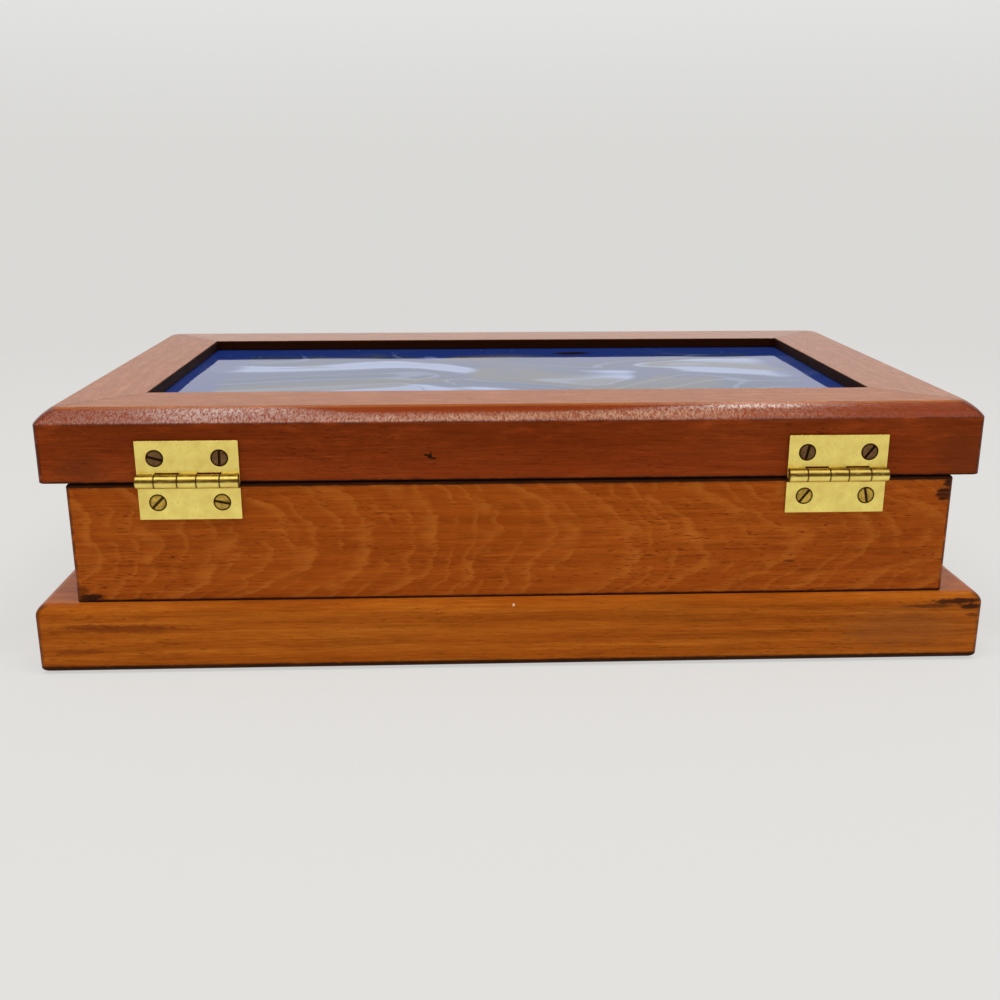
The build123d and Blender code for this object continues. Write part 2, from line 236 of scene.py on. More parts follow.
class Wire:
    """One output socket of a node tree, which can stand in a Python sum."""

    def __init__(self, nodes, socket):
        self.nodes = nodes
        self.socket = socket

    def calculate(self, operation, *terms):
        return self.nodes.add("ShaderNodeMath", {"operation": operation}, dict(enumerate(terms)))

    def __add__(self, other):
        return self.calculate("ADD", self, other)

    def __sub__(self, other):
        return self.calculate("SUBTRACT", self, other)

    def __rsub__(self, other):
        return self.calculate("SUBTRACT", other, self)

    def __mul__(self, other):
        return self.calculate("MULTIPLY", self, other)

    def __truediv__(self, other):
        return self.calculate("DIVIDE", self, other)

    def __pow__(self, other):
        return self.calculate("POWER", self, other)

    def __abs__(self):
        return self.calculate("ABSOLUTE", self)

    __radd__ = __add__

    def fraction(self):
        return self.calculate("FRACT", self)

    def sine(self):
        return self.calculate("SINE", self)

    def larger(self, other):
        return self.calculate("MAXIMUM", self, other)

    def smaller(self, other):
        return self.calculate("MINIMUM", self, other)

    def step(self, low, high):
        """0 below low, 1 above high and smooth between them, or falling with low above high."""
        settings = {"interpolation_type": "SMOOTHSTEP", "clamp": True}
        values = {0: self, 1: low, 2: high, 3: 0.0, 4: 1.0}
        return self.nodes.add("ShaderNodeMapRange", settings, values)


class Nodes:
    """A node tree, to which every node is added by one method."""

    def __init__(self, tree):
        self.tree = tree
        tree.nodes.clear()

    def add(self, kind, settings=None, values=None, output=0):
        """Adds a node: first its settings, then the values or links of its input sockets."""
        node = self.tree.nodes.new(kind)
        for name, value in (settings or {}).items():
            if name == "stops":
                elements = node.color_ramp.elements
                while len(elements) < len(value):
                    elements.new(1.0)
                for element, (position, colour) in zip(elements, value):
                    element.position = position
                    element.color = (*colour, 1.0)
            else:
                setattr(node, name, value)
        for key, value in (values or {}).items():
            if isinstance(value, Wire):
                self.tree.links.new(value.socket, node.inputs[key])
            else:
                node.inputs[key].default_value = value
        if len(node.outputs):
            return Wire(self, node.outputs[output])
        return None

    def split(self, vector):
        first = self.add("ShaderNodeSeparateXYZ", None, {0: vector})
        return [Wire(self, socket) for socket in first.socket.node.outputs]

    def combine(self, x, y, z):
        return self.add("ShaderNodeCombineXYZ", None, {0: x, 1: y, 2: z})

    def vector(self, operation, *terms, output=0):
        values = dict(enumerate(terms))
        return self.add("ShaderNodeVectorMath", {"operation": operation}, values, output)

    def noise(self, vector, stretch, detail=2.0, roughness=0.5, distortion=0.0, output=0):
        """Noise from 0 to 1 about 0.5. stretch gives its waves per millimetre along each axis."""
        stretched = self.vector("MULTIPLY", vector, stretch)
        values = {"Vector": stretched, "Scale": 1.0, "Detail": detail, "Roughness": roughness,
                  "Distortion": distortion}
        return self.add("ShaderNodeTexNoise", None, values, output)

    def mix(self, factor, first, second):
        return self.add("ShaderNodeMix", {"data_type": "RGBA"}, {0: factor, 6: first, 7: second}, 2)

    def ramp(self, value, *stops):
        return self.add("ShaderNodeValToRGB", {"stops": stops}, {0: value})

    def bump(self, height, depth):
        """A Bump node. height runs from 0 to 1, and depth is what 1 stands for, in millimetres."""
        values = {"Strength": 1.0, "Distance": depth * MM, "Height": height}
        return self.add("ShaderNodeBump", None, values)


def new_material(name):
    material = bpy.data.materials.new(name)
    material.use_nodes = True
    return material, Nodes(material.node_tree)


def principled(nodes, values):
    """Adds the Principled shader and the output."""
    shader = nodes.add("ShaderNodeBsdfPrincipled", None, values)
    nodes.add("ShaderNodeOutputMaterial", None, {"Surface": shader})


def millimetres(nodes):
    """The object's own coordinates, in millimetres."""
    place = nodes.add("ShaderNodeTexCoord", output=3)
    return nodes.vector("MULTIPLY", place, (1 / MM, 1 / MM, 1 / MM))


def seen_rays(nodes):
    """1 for the rays that show the stage, straight, mirrored or through glass, and 0 for light."""
    path = nodes.add("ShaderNodeLightPath")
    rays = [Wire(nodes, path.socket.node.outputs[f"Is {kind} Ray"])
            for kind in ("Camera", "Glossy", "Transmission")]
    return rays[0].larger(rays[1]).larger(rays[2])


def opaque(colour):
    return (*colour, 1.0)


def tinted(colour, factor, warmth=1.0):
    """The colour made lighter or darker. warmth above 1 leaves more of its green and blue."""
    red, green, blue = colour
    return (red * factor, green * factor * warmth, blue * factor * warmth * warmth)


# Finishes


RECESS_DARK = (0.004, 0.0015, 0.001)
# Near black: the painted shade in the seams and at the foot, and the nail hole.
SHADE_DIRT_AND_HOLE = (0.010, 0.004, 0.003)
# How much of each primary colour the lid's top gives back, against its sides: faded, and painted
# lighter for the sheen it shows.
FADE_AND_SHEEN = (1.60, 2.6, 1.6)
# The thick varnish on the lid's moulding and top.
COAT_ROUGHNESS = 0.22
COAT_INDEX = 2.5
# Where that varnish climbs to the crown, and how far, and where it is worn, in millimetres along X.
COAT_CLIMBS = ((35.0, 60.0), (-5.0, -60.0))
COAT_CLIMB = 1.1
COAT_WORN = (-68.0, -88.0)
# The growth rings' centre, in millimetres beside and below the grain, and their shape.
PITH_ACROSS = 31.0
PITH_DEPTH = 58.0
PITH_FLATTENING = 1.3
RING_WANDER = 16.0
RING_WAVES = 1.55
# The wall's crescents bow about this height. A row has a spacing, bend, wander, jitter and share.
FLAME_HEIGHT = 33.7
FLAME_BOW = 0.0042
FLAME_ROWS = ((17.0, 1.0, 2.6, 0.30, 0.80), (6.1, 1.8, 5.5, 0.70, 0.55))
# How far from the panel's edge its deep blue border is gone, and is full, in millimetres.
BORDER = (21.0, 14.0)
# A dark smudge on the panel, in millimetres.
SMUDGE_PLACE = (-24.0, -34.2)
SMUDGE_RADII = (8.0, 3.0, 5.0)
# Painted dark lines on a barrel, for the dark room it mirrors and the shade at its top and bottom:
# height and breadth as shares of its radius, and strength.
PAINTED_BARREL_LINES = ((0.30, 0.30, 1.1), (0.97, 0.20, 1.0), (-0.90, 0.16, 0.7))
PLY_THICKNESS = 1.2


def blot(nodes, place, ragged, centre, radii, inner=0.35):
    """An uneven spot round a point, 1 in its middle and 0 outside its radii, all in millimetres."""
    away = nodes.vector("SUBTRACT", place, centre)
    scaled = nodes.vector("DIVIDE", away, radii)
    distance = nodes.vector("LENGTH", scaled, output=1)
    return (distance + ragged).step(1.0, inner)


def flame_figure(nodes, grain, lengthways, up):
    """The wall's figure: rows of faint crescents, each brightest at the edge where it stops. It
    gives the light of the crescents and the shade behind them."""
    scallop = nodes.noise(grain, (0.18, 0.75, 0.75), 4.0, 0.6) - 0.5
    warp = nodes.noise(grain, (0.020, 0.05, 0.05), 2.0) - 0.5
    broken = nodes.noise(grain, (0.07, 0.16, 0.16), 2.0, 0.6).step(0.40, 0.60)
    bow = (up - FLAME_HEIGHT) * (up - FLAME_HEIGHT) * FLAME_BOW
    light = shade = 0.0
    for spacing, bend, wander, jitter, share in FLAME_ROWS:
        place = (0.0 - lengthways) / spacing + bow * bend + warp * wander + scallop * jitter
        wave = place.fraction()
        crest = wave.step(0.58, 0.90) * wave.step(1.0, 0.92)
        light = light + crest * broken * share
        shade = shade + wave.step(0.30, 0.02) * broken * (share * 0.8)
        broken = 1.0 - broken
    return light, shade


def timber(name, colour, along, shift, varnish, contrast=1.0, figure=0.0, pores=0.5, rings=0.3,
           spots=(), grime_and_shade=(), inner_edge=0.0, polish=None, haze=0.0, *, outline):
    """Stained and varnished wood. along is the axis of its grain, and shift moves its pattern.
    varnish is its index, tint and roughness. contrast, figure, pores, rings and haze say how much
    of each there is. Each spot is a centre, radii, strength and stain. outline gives the lowest and
    highest corner of the frame or board. The pairs of heights for the seams and the foot give
    painted shade at its outer faces: unshaded above, and near black below. inner_edge is a frame's
    width, where its recess is darkened near black. polish gives the heights of the moulding's foot
    and crown, and how thick the varnish is on top."""
    material, nodes = new_material(name)

    def shaded(factor, wood, lightness, warmth):
        return nodes.mix(factor, wood, opaque(tinted(colour, lightness, warmth)))

    place = millimetres(nodes)
    turn = math.pi / 2 if along == "Y" else 0.0
    grain = nodes.add("ShaderNodeMapping", {"vector_type": "POINT"},
                      {"Vector": place, "Location": shift, "Rotation": (0.0, 0.0, turn)})
    lengthways, across, up = nodes.split(grain)
    # The growth rings are wide ellipses about a pith far below the board, so they run as streaks.
    wander = nodes.noise(grain, (0.006, 0.03, 0.03), 2.0)
    from_pith = nodes.combine(0.0, across + PITH_ACROSS, (up + PITH_DEPTH) * PITH_FLATTENING)
    depth = nodes.vector("LENGTH", from_pith, output=1)
    ring = (((depth + wander * RING_WANDER) * RING_WAVES).sine() * 0.5 + 0.5) ** 1.6
    broad = nodes.noise(grain, (0.009, 0.17, 0.17), 3.0, 0.55)
    fibre = nodes.noise(grain, (0.036, 1.5, 1.5), 3.0, 0.65)
    fine = nodes.noise(grain, (0.16, 3.2, 3.2), 2.0, 0.6)
    mottle = nodes.noise(grain, (0.10, 0.42, 0.42), 3.0, 0.6)
    tone = (0.5 + (broad - 0.5) * (0.45 * contrast) + (fibre - 0.5) * (0.58 * contrast)
            + (fine - 0.5) * (0.60 * contrast) + (mottle - 0.5) * 0.34
            + (ring - 0.4) * (0.30 * rings))
    wood = nodes.ramp(tone, (0.14, tinted(colour, 0.40, 0.8)), (0.40, tinted(colour, 0.84, 0.95)),
                      (0.58, tinted(colour, 1.10, 1.05)), (0.86, tinted(colour, 1.55, 1.30)))
    # Slow clouds of redder stain.
    cloud = nodes.noise(grain, (0.016, 0.06, 0.06), 3.0, 0.6)
    wood = shaded(cloud.step(0.40, 0.68) * 0.30, wood, 0.72, 0.75)
    wood = shaded(mottle.step(0.48, 0.66) * 0.26, wood, 0.88, 0.66)
    if figure:
        light, shade = flame_figure(nodes, grain, lengthways, up)
        wood = shaded(light * (0.38 * figure), wood, 1.70, 1.55)
        wood = shaded(shade * (0.30 * figure), wood, 0.66, 0.75)
    # Open pores: short dark dashes along the grain, in loose crowds.
    crowd = nodes.noise(grain, (0.02, 0.08, 0.08), 2.0).step(0.34, 0.60)
    dash = nodes.noise(grain, (0.46, 3.0, 3.0), 1.0, 0.4)
    pore = dash.step(0.625, 0.715) * (crowd * 0.75 + 0.25)
    wood = shaded(pore * pores, wood, 0.30, 0.55)
    # Stain and painted shade darken the edges, and the stain is rubbed there in places.
    edge = nodes.add("ShaderNodeAttribute", {"attribute_name": "edge"}, output=2)
    rubbed = nodes.noise(grain, (0.12, 0.5, 0.5), 3.0, 0.65)
    wood = shaded(edge * rubbed.step(0.30, 0.56) * 0.80, wood, 0.20, 0.7)
    wood = shaded(edge * rubbed.step(0.40, 0.28) * 0.40, wood, 1.4, 1.4)
    ragged = nodes.noise(place, (0.35, 0.9, 0.9), 3.0, 0.6) - 0.5
    dull = edge * 0.03 + pore * 0.2
    x, y, z = nodes.split(place)
    low, high = outline
    from_side = high.x - abs(x)
    from_end = (high.y - low.y) / 2 - abs(y - (high.y + low.y) / 2)
    from_outside = from_side.smaller(from_end)
    if inner_edge:
        wood = shaded(abs(from_side - from_end).step(0.30, 0.04) * 0.7, wood, 0.20, 0.7)
        inner = from_outside.step(inner_edge - 0.30, inner_edge - 0.05)
    coat = 0.0
    if polish:
        # The top is faded and painted lighter for its sheen, and polished smooth, and the moulding
        # below it is painted darker, as shade. The thick varnish there has crinkled, climbs to the
        # crown towards both ends, and is worn near one.
        foot, crown, most = polish
        faded = z.step(crown - 0.6, crown - 0.05)
        pale = nodes.mix(0.45, nodes.vector("MULTIPLY", wood, FADE_AND_SHEEN),
                         opaque([value * factor for value, factor in zip(colour, FADE_AND_SHEEN)]))
        wood = shaded(z.step(foot - 0.1, foot + 0.3) * 0.5, wood, 0.80, 0.85)
        wood = nodes.mix(faded, wood, pale)
        crinkled = nodes.noise(place, (2.0, 1.1, 1.1), 3.0, 0.7).step(0.28, 0.70)
        sheen = nodes.noise(place, (0.030, 0.2, 0.2), 2.0).step(0.36, 0.62)
        worn = x.step(*COAT_WORN) * 0.5
        reach = (x.step(*COAT_CLIMBS[0]) + x.step(*COAT_CLIMBS[1])) * COAT_CLIMB
        crinkled = (crinkled * (sheen * 0.35 + 0.65) * (1.0 - worn)
                    * (z - reach).step(crown - 1.1, crown - 1.9))
        coat = z.step(foot - 0.25, foot + 0.15) * crinkled.larger(faded * most)
    if inner_edge:
        # The recess's inner walls are darkened near black.
        wood = nodes.mix(inner * 0.95, wood, opaque(RECESS_DARK))
        dull = dull + inner * 0.35
        coat = (1.0 - inner) * coat
    # Stains follow the fibres, and painted shade darkens the seams and the foot along the outer
    # faces.
    strokes = fibre.step(0.36, 0.58) * 0.35 + 0.65
    for centre, radii, strength, stain in spots:
        spot = blot(nodes, place, ragged * 1.3, centre, radii)
        wood = nodes.mix(spot * strokes * strength, wood, opaque(stain))
    for unshaded, black in grime_and_shade:
        band = (z + ragged * 0.5).step(unshaded, black) * (from_outside + ragged).step(1.9, 1.1)
        wood = nodes.mix(band * 0.94, wood, opaque(SHADE_DIRT_AND_HOLE))
        dull = dull + band * 0.3
    if haze:
        film = nodes.noise(place, (0.03, 0.12, 0.12), 4.0, 0.65).step(0.48, 0.72)
        wood = shaded(film * haze, wood, 0.95, 1.5)
    # The varnish follows the fibres, and has its own finer crinkle.
    index, tint, roughness = varnish
    ripple = nodes.noise(grain, (0.22, 0.5, 0.5), 2.0, 0.6)
    crinkle = nodes.noise(place, (1.3, 1.6, 1.6), 2.0, 0.6)
    height = fibre * 0.22 + fine * 0.12 + ripple * 0.50 + crinkle * 0.20 - pore * 0.30
    if polish:
        height = height * (1.0 - faded * 0.7)
    gloss = roughness + (rubbed - 0.5) * 0.14 + dull
    principled(nodes, {"Base Color": wood, "Roughness": gloss, "IOR": index,
                       "Specular Tint": opaque(tint), "Coat Weight": coat,
                       "Coat Roughness": COAT_ROUGHNESS, "Coat IOR": COAT_INDEX,
                       "Normal": nodes.bump(height, 0.045)})
    return material


def marbled_glaze(settings):
    """Poured glaze: grey blue, with pale, sandy and deep blue shapes folded into each other."""
    material, nodes = new_material("marbled_glaze")
    place = millimetres(nodes)
    drift = nodes.noise(place, (0.010, 0.014, 0.014), 1.0, 0.5, output=1)
    pushed = nodes.vector("ADD", place, nodes.vector(
        "MULTIPLY", nodes.vector("SUBTRACT", drift, (0.5, 0.5, 0.5)), (170.0, 95.0, 0.0)))
    swirl = nodes.noise(pushed, (0.012, 0.019, 0.019), 2.0, 0.45, 0.4)
    deep = opaque(settings.deep_colour)
    middle = settings.middle_colour
    glaze = nodes.ramp(swirl, (0.30, settings.deep_colour), (0.40, tinted(middle, 0.8)),
                       (0.505, middle), (0.535, settings.pale_colour),
                       (0.70, tinted(settings.pale_colour, 0.80)))
    sandy = nodes.noise(pushed, (0.015, 0.026, 0.05), 1.0, 0.5, 0.5)
    glaze = nodes.mix(sandy.step(0.55, 0.61) * 0.8, glaze, opaque(settings.sand_colour))
    # Thin folded threads follow the shapes.
    fold = (swirl * 46.0 + sandy * 9.0).sine()
    glaze = nodes.mix(fold.step(0.88, 1.0) * 0.42, glaze, deep)
    glaze = nodes.mix(fold.step(-0.86, -1.0) * 0.34, glaze, opaque(settings.pale_colour))
    x, y, _ = nodes.split(place)
    middle_y = (PANEL_LOW.y + PANEL_HIGH.y) / 2
    from_edge = (PANEL_HIGH.x - abs(x)).smaller((PANEL_HIGH.y - middle_y) - abs(y - middle_y))
    uneven = nodes.noise(place, (0.05, 0.07, 0.07), 3.0, 0.6) - 0.5
    glaze = nodes.mix((from_edge + uneven * 16.0).step(*BORDER) * 0.93, glaze, deep)
    smudge = blot(nodes, place, uneven * 1.6, (*SMUDGE_PLACE, PANEL_HIGH.z), SMUDGE_RADII, 0.6)
    glaze = nodes.mix(smudge, glaze, opaque((0.012, 0.008, 0.007)))
    dust = nodes.noise(place, (0.8, 0.8, 0.8), 1.0).step(0.765, 0.80)
    glaze = nodes.mix(dust * 0.5, glaze, opaque((0.6, 0.62, 0.66)))
    smear = nodes.noise(place, (0.03, 0.07, 0.07), 4.0, 0.65)
    height = nodes.noise(place, (0.045, 0.06, 0.06), 2.0) * 0.8 + dust * 0.1
    gloss = smear.step(0.35, 0.8) * 0.06 + 0.03
    principled(nodes, {"Base Color": glaze, "Roughness": gloss, "IOR": 1.5,
                       "Normal": nodes.bump(height, 0.05)})
    return material


def brass(name, colour, roughness, stain, stained, mottle=0.25, spread=0.10, rim=0.6, scratch=0.5,
          barrel=None):
    """Sheet or turned brass with a light brushing, dull patches and stains. mottle is the patches'
    waves per millimetre, spread how far they leave the colour, and rim how dark its edges are.
    barrel gives the axis and radius of a barrel on which dark lines are painted, for the dark room
    it mirrors and the shade at its top and bottom."""
    material, nodes = new_material(name)
    place = millimetres(nodes)
    brushed = nodes.noise(place, (0.35, 3.0, 9.0), 2.0, 0.6)
    patch = nodes.noise(place, (mottle, mottle, mottle), 4.0, 0.62)
    speck = nodes.noise(place, (1.5, 1.5, 1.5), 3.0, 0.6)
    metal = nodes.ramp(patch, (0.30, tinted(colour, 1 - spread, 0.94)), (0.50, colour),
                       (0.72, tinted(colour, 1 + spread, 1.03)))
    grime_and_shade = speck.step(0.56, 0.74) * patch.step(0.40, 0.62)
    metal = nodes.mix(grime_and_shade * stained, metal, opaque(stain))
    # Dark edges: dirt at the knuckles' ends and in the screws' slots and rims, and painted shade on
    # the leaves' side walls.
    edge = nodes.add("ShaderNodeAttribute", {"attribute_name": "edge"}, output=2)
    metal = nodes.mix(edge * rim, metal, opaque(stain))
    # Painted reflection and shade: dark lines along the barrel's front.
    if barrel:
        axis, radius = barrel
        _, y, z = nodes.split(place)
        front = y.step(axis.y - 0.2, axis.y + 0.2)
        worn = nodes.noise(place, (0.5, 1.5, 1.5), 2.0, 0.6)
        for level, breadth, strength in PAINTED_BARREL_LINES:
            away = abs(z - (axis.z + radius * level))
            line = away.step(breadth * radius * 1.4, breadth * radius * 0.3)
            metal = nodes.mix(line * front * (worn * 0.9 + 0.45) * strength, metal, opaque(stain))
    gloss = roughness + (patch - 0.5) * 0.22 + (brushed - 0.5) * (0.16 * scratch) + grime_and_shade * 0.2
    height = brushed * (0.5 * scratch) + speck * 0.3 + patch * 0.4
    principled(nodes, {"Base Color": metal, "Metallic": 1.0, "Roughness": gloss,
                       "Normal": nodes.bump(height, 0.012)})
    return material


def steel():
    """Plain zinc-coated steel of the screws under the base."""
    material, nodes = new_material("plain_steel")
    place = millimetres(nodes)
    turned = nodes.noise(place, (1.2, 1.2, 4.0), 3.0, 0.6)
    patch = nodes.noise(place, (0.3, 0.3, 0.3), 4.0, 0.6)
    metal = nodes.ramp(patch, (0.3, (0.34, 0.34, 0.33)), (0.7, (0.55, 0.55, 0.56)))
    principled(nodes, {"Base Color": metal, "Metallic": 1.0, "Roughness": 0.28 + turned * 0.25,
                       "Normal": nodes.bump(turned, 0.02)})
    return material


def plywood():
    """Thin bare plywood, with its plies in stripes on the edges."""
    material, nodes = new_material("bare_plywood")
    place = millimetres(nodes)
    _, _, z = nodes.split(place)
    fibre = nodes.noise(place, (0.02, 0.7, 0.7), 4.0, 0.6)
    ply = ((z * (math.pi / PLY_THICKNESS)).sine() * 0.5 + 0.5).step(0.4, 0.6)
    board = nodes.ramp(fibre, (0.25, (0.36, 0.21, 0.10)), (0.5, (0.47, 0.30, 0.15)),
                       (0.8, (0.58, 0.40, 0.22)))
    board = nodes.mix(ply * 0.35, board, opaque((0.30, 0.17, 0.08)))
    principled(nodes, {"Base Color": board, "Roughness": 0.72 + (fibre - 0.5) * 0.2,
                       "Normal": nodes.bump(fibre, 0.08)})
    return material


def felt(name, colour):
    """Pressed wool: tangled fibres, a slightly cloudy colour and a dull nap."""
    material, nodes = new_material(name)
    place = millimetres(nodes)
    cloud = nodes.noise(place, (0.03, 0.03, 0.03), 3.0, 0.6)
    tangle = nodes.noise(place, (2.2, 2.2, 2.2), 4.0, 0.7, 1.5)
    strand = nodes.noise(place, (0.9, 3.4, 3.4), 3.0, 0.6, 2.5)
    cloth = nodes.ramp(tangle * 0.6 + strand * 0.25 + cloud * 0.15, (0.30, tinted(colour, 0.45)),
                       (0.50, tinted(colour, 1.0)), (0.72, tinted(colour, 2.0, 1.1)))
    lint = nodes.noise(place, (0.7, 0.7, 3.0), 2.0, 0.5, 3.0).step(0.735, 0.77)
    cloth = nodes.mix(lint * 0.35, cloth, opaque((0.45, 0.45, 0.45)))
    principled(nodes, {"Base Color": cloth, "Roughness": 0.95, "Sheen Weight": 0.08,
                       "Sheen Roughness": 0.5, "Normal": nodes.bump(tangle + strand * 0.5, 0.25)})
    return material


# Mesh helpers


# Points nearer to each other than this are welded, in millimetres.
WELD = 0.0005
# The flat strip beside a rounded corner with room for one, in millimetres, and the round's steps.
SUPPORT = 0.9
ROUND_STEPS = 4
# Stain and painted shade darken the upright corners of a frame within this distance of its outside.
DARK_CORNER_REACH = 6.0


def mesh_object(name, bm, material, smooth_degrees=30.0):
    """Turns a bmesh in millimetres into an object in metres, faces outward and shaded softly."""
    bmesh.ops.remove_doubles(bm, verts=bm.verts, dist=WELD)
    bmesh.ops.recalc_face_normals(bm, faces=bm.faces)
    bmesh.ops.scale(bm, vec=(MM, MM, MM), verts=bm.verts)
    mesh = bpy.data.meshes.new(name)
    bm.to_mesh(mesh)
    bm.free()
    mesh.materials.append(material)
    mesh.shade_smooth()
    mesh.set_sharp_from_angle(angle=math.radians(smooth_degrees))
    thing = bpy.data.objects.new(name, mesh)
    bpy.context.scene.collection.objects.link(thing)
    return thing


def settle(thing):
    """Applies an object's modifiers, so that a plain mesh is left."""
    bpy.context.view_layer.update()
    graph = bpy.context.evaluated_depsgraph_get()
    mesh = bpy.data.meshes.new_from_object(
        thing.evaluated_get(graph), preserve_all_data_layers=True, depsgraph=graph)
    old = thing.data
    thing.modifiers.clear()
    thing.data = mesh
    bpy.data.meshes.remove(old)
    mesh.name = thing.name
    return thing


def weigh_normals(thing):
    """Keeps the wide faces flat in the shading, while the small rounds at their edges stay soft."""
    modifier = thing.modifiers.new("flat faces", "WEIGHTED_NORMAL")
    modifier.keep_sharp = True
    modifier.weight = 60
    return settle(thing)


def seat(thing, body, node):
    """The piece rides on a body and stands for its CAD node, which is hidden."""
    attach(thing, body)
    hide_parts(node)


def band(bm, first, second, closed=True):
    """Joins two rows of vertices with a row of faces, which runs right round if they are closed."""
    if closed:
        first, second = first + first[:1], second + second[:1]
    for corners in zip(first, first[1:], second[1:], second):
        bm.faces.new(corners)


def quarter_round(radius, steps):
    """The points of a rounded edge, each as its angle and its distances from the two faces."""
    for step in range(steps + 1):
        angle = math.radians(90 * step / steps)
        yield angle, radius * (1 - math.cos(angle)), radius * (1 - math.sin(angle))


def eased(corners):
    """Rounds the corners of a closed section. Each corner is (inset, height, radius), and the
    result is a list of (inset, height, edge), where edge is 1 on a round and 0 on the flats."""
    stations = []
    count = len(corners)
    for index, (inset, height, radius) in enumerate(corners):
        corner = Vector((inset, height))
        before = Vector(corners[index - 1][:2]) - corner
        after = Vector(corners[(index + 1) % count][:2]) - corner
        if radius <= 0.0:
            stations.append((inset, height, 0.0))
            continue
        room = min(before.length, after.length)
        before.normalize()
        after.normalize()
        half_angle = before.angle(after) / 2
        reach = radius / math.tan(half_angle)
        centre = corner + (before + after).normalized() * (radius / math.sin(half_angle))
        start = corner + before * reach
        end = corner + after * reach
        if room > 2.5 * (reach + SUPPORT):
            stations.append((*(corner + before * (reach + SUPPORT)), 0.0))
        for step in range(ROUND_STEPS + 1):
            share = step / ROUND_STEPS
            towards = (start - centre).lerp(end - centre, share).normalized() * radius
            stations.append((*(centre + towards), 1.0 - abs(2 * share - 1) * 0.5))
        if room > 2.5 * (reach + SUPPORT):
            stations.append((*(corner + after * (reach + SUPPORT)), 0.0))
    return stations


def corner_path(low, high, side, inset, radius, steps):
    """The outline of one side of a rounded rectangle, from the middle of one corner to the next.
    Each point is (x, y, bend), where bend is 1 in the middle of a corner."""
    turns = [(1, 1), (-1, 1), (-1, -1), (1, -1)]
    middle = (low + high) / 2
    half = (high - low) / 2
    points = []
    for corner, first, last in ((side, 45, 90), ((side + 1) % 4, 0, 45)):
        sign_x, sign_y = turns[corner]
        centre_x = middle.x + sign_x * (half.x - inset - radius)
        centre_y = middle.y + sign_y * (half.y - inset - radius)
        for step in range(steps + 1):
            degrees = first + (last - first) * step / steps
            angle = math.radians(90 * corner + degrees)
            bend = 1.0 - abs(degrees - 45) / 45
            points.append((centre_x + radius * math.cos(angle),
                           centre_y + radius * math.sin(angle), bend))
    return points


def mitred_stick(name, low, high, side, section, radius_of, gap, material):
    """One side of a mitred frame. Its section runs from the middle of one corner to the next."""
    bm = bmesh.new()
    edge_layer = bm.verts.layers.float.new("edge")
    rows = []
    length_axis = 0 if side in (REAR, FRONT) else 1
    middle = (low + high) / 2
    half = ((high - low) / 2)[length_axis]
    shrink = (half - gap) / half
    for inset, height, edge in section:
        row = []
        for x, y, bend in corner_path(low, high, side, inset, radius_of(inset), 5):
            place = Vector((x, y, height))
            from_middle = place[length_axis] - middle[length_axis]
            place[length_axis] = middle[length_axis] + from_middle * shrink
            vertex = bm.verts.new(place)
            outer = bend if inset < DARK_CORNER_REACH else 0.0
            vertex[edge_layer] = max(edge, min(1.0, 2.2 * outer) if radius_of(inset) > 0.5 else 0.0)
            row.append(vertex)
        rows.append(row)
    for row, following in zip(rows, rows[1:] + rows[:1]):
        band(bm, row, following, closed=False)
    bm.faces.new([row[0] for row in rows])
    bm.faces.new([row[-1] for row in rows])
    return weigh_normals(mesh_object(name, bm, material))


def lathe(bm, profile, segments):
    """Turns a profile of (radius, height) round the Y axis into a closed form."""
    rings = []
    for radius, height in profile:
        if radius <= 0.0:
            rings.append([bm.verts.new((0.0, height, 0.0))])
            continue
        rings.append([bm.verts.new((radius * math.cos(2 * math.pi * k / segments), height,
                                    radius * math.sin(2 * math.pi * k / segments)))
                      for k in range(segments)])
    for ring, following in zip(rings, rings[1:]):
        for k in range(segments):
            corners = [ring[k % len(ring)], ring[(k + 1) % len(ring)],
                       following[(k + 1) % len(following)], following[k % len(following)]]
            bm.faces.new(list(dict.fromkeys(corners)))


def repeat_tree(name, extra):
    """A Geometry Nodes tree that sets copies of the object's own mesh in a row along X."""
    tree = bpy.data.node_groups.new(name, "GeometryNodeTree")
    tree.is_modifier = True
    sockets = [("Geometry", "NodeSocketGeometry"), ("Count", "NodeSocketInt"),
               ("Spacing", "NodeSocketFloat"), ("Middle", "NodeSocketVector"), *extra,
               ("Material", "NodeSocketMaterial")]
    for socket, kind in sockets:
        tree.interface.new_socket(socket, in_out="INPUT", socket_type=kind)
    tree.interface.new_socket("Geometry", in_out="OUTPUT", socket_type="NodeSocketGeometry")
    nodes = Nodes(tree)
    given = tree.nodes.new("NodeGroupInput")
    inputs = {socket.name: Wire(nodes, socket) for socket in given.outputs if socket.name}
    spacing = inputs["Spacing"]
    start = nodes.vector("SUBTRACT", inputs["Middle"],
                         nodes.combine((inputs["Count"] - 1) * spacing * 0.5, 0.0, 0.0))
    row = nodes.add("GeometryNodeMeshLine", {"mode": "OFFSET"},
                    {"Count": inputs["Count"], "Start Location": start,
                     "Offset": nodes.combine(spacing, 0.0, 0.0)})
    values = {"Points": row, "Instance": inputs["Geometry"]}
    if "First Turn" in inputs:
        index = nodes.add("GeometryNodeInputIndex")
        turn = inputs["First Turn"] + index * (inputs["Second Turn"] - inputs["First Turn"])
        values["Rotation"] = nodes.combine(0.0, turn, 0.0)
    copies = nodes.add("GeometryNodeInstanceOnPoints", None, values)
    real = nodes.add("GeometryNodeRealizeInstances", None, {0: copies})
    painted = nodes.add("GeometryNodeSetMaterial", None,
                        {"Geometry": real, "Material": inputs["Material"]})
    nodes.add("NodeGroupOutput", None, {0: painted})
    return tree


def repeated(thing, tree, **values):
    """Runs a repeating tree on an object and leaves a plain mesh."""
    modifier = thing.modifiers.new(tree.name, "NODES")
    modifier.node_group = tree
    for socket in tree.interface.items_tree:
        key = socket.name.lower().replace(" ", "_")
        if socket.in_out == "INPUT" and key in values:
            modifier[socket.identifier] = values[key]
    return settle(thing)


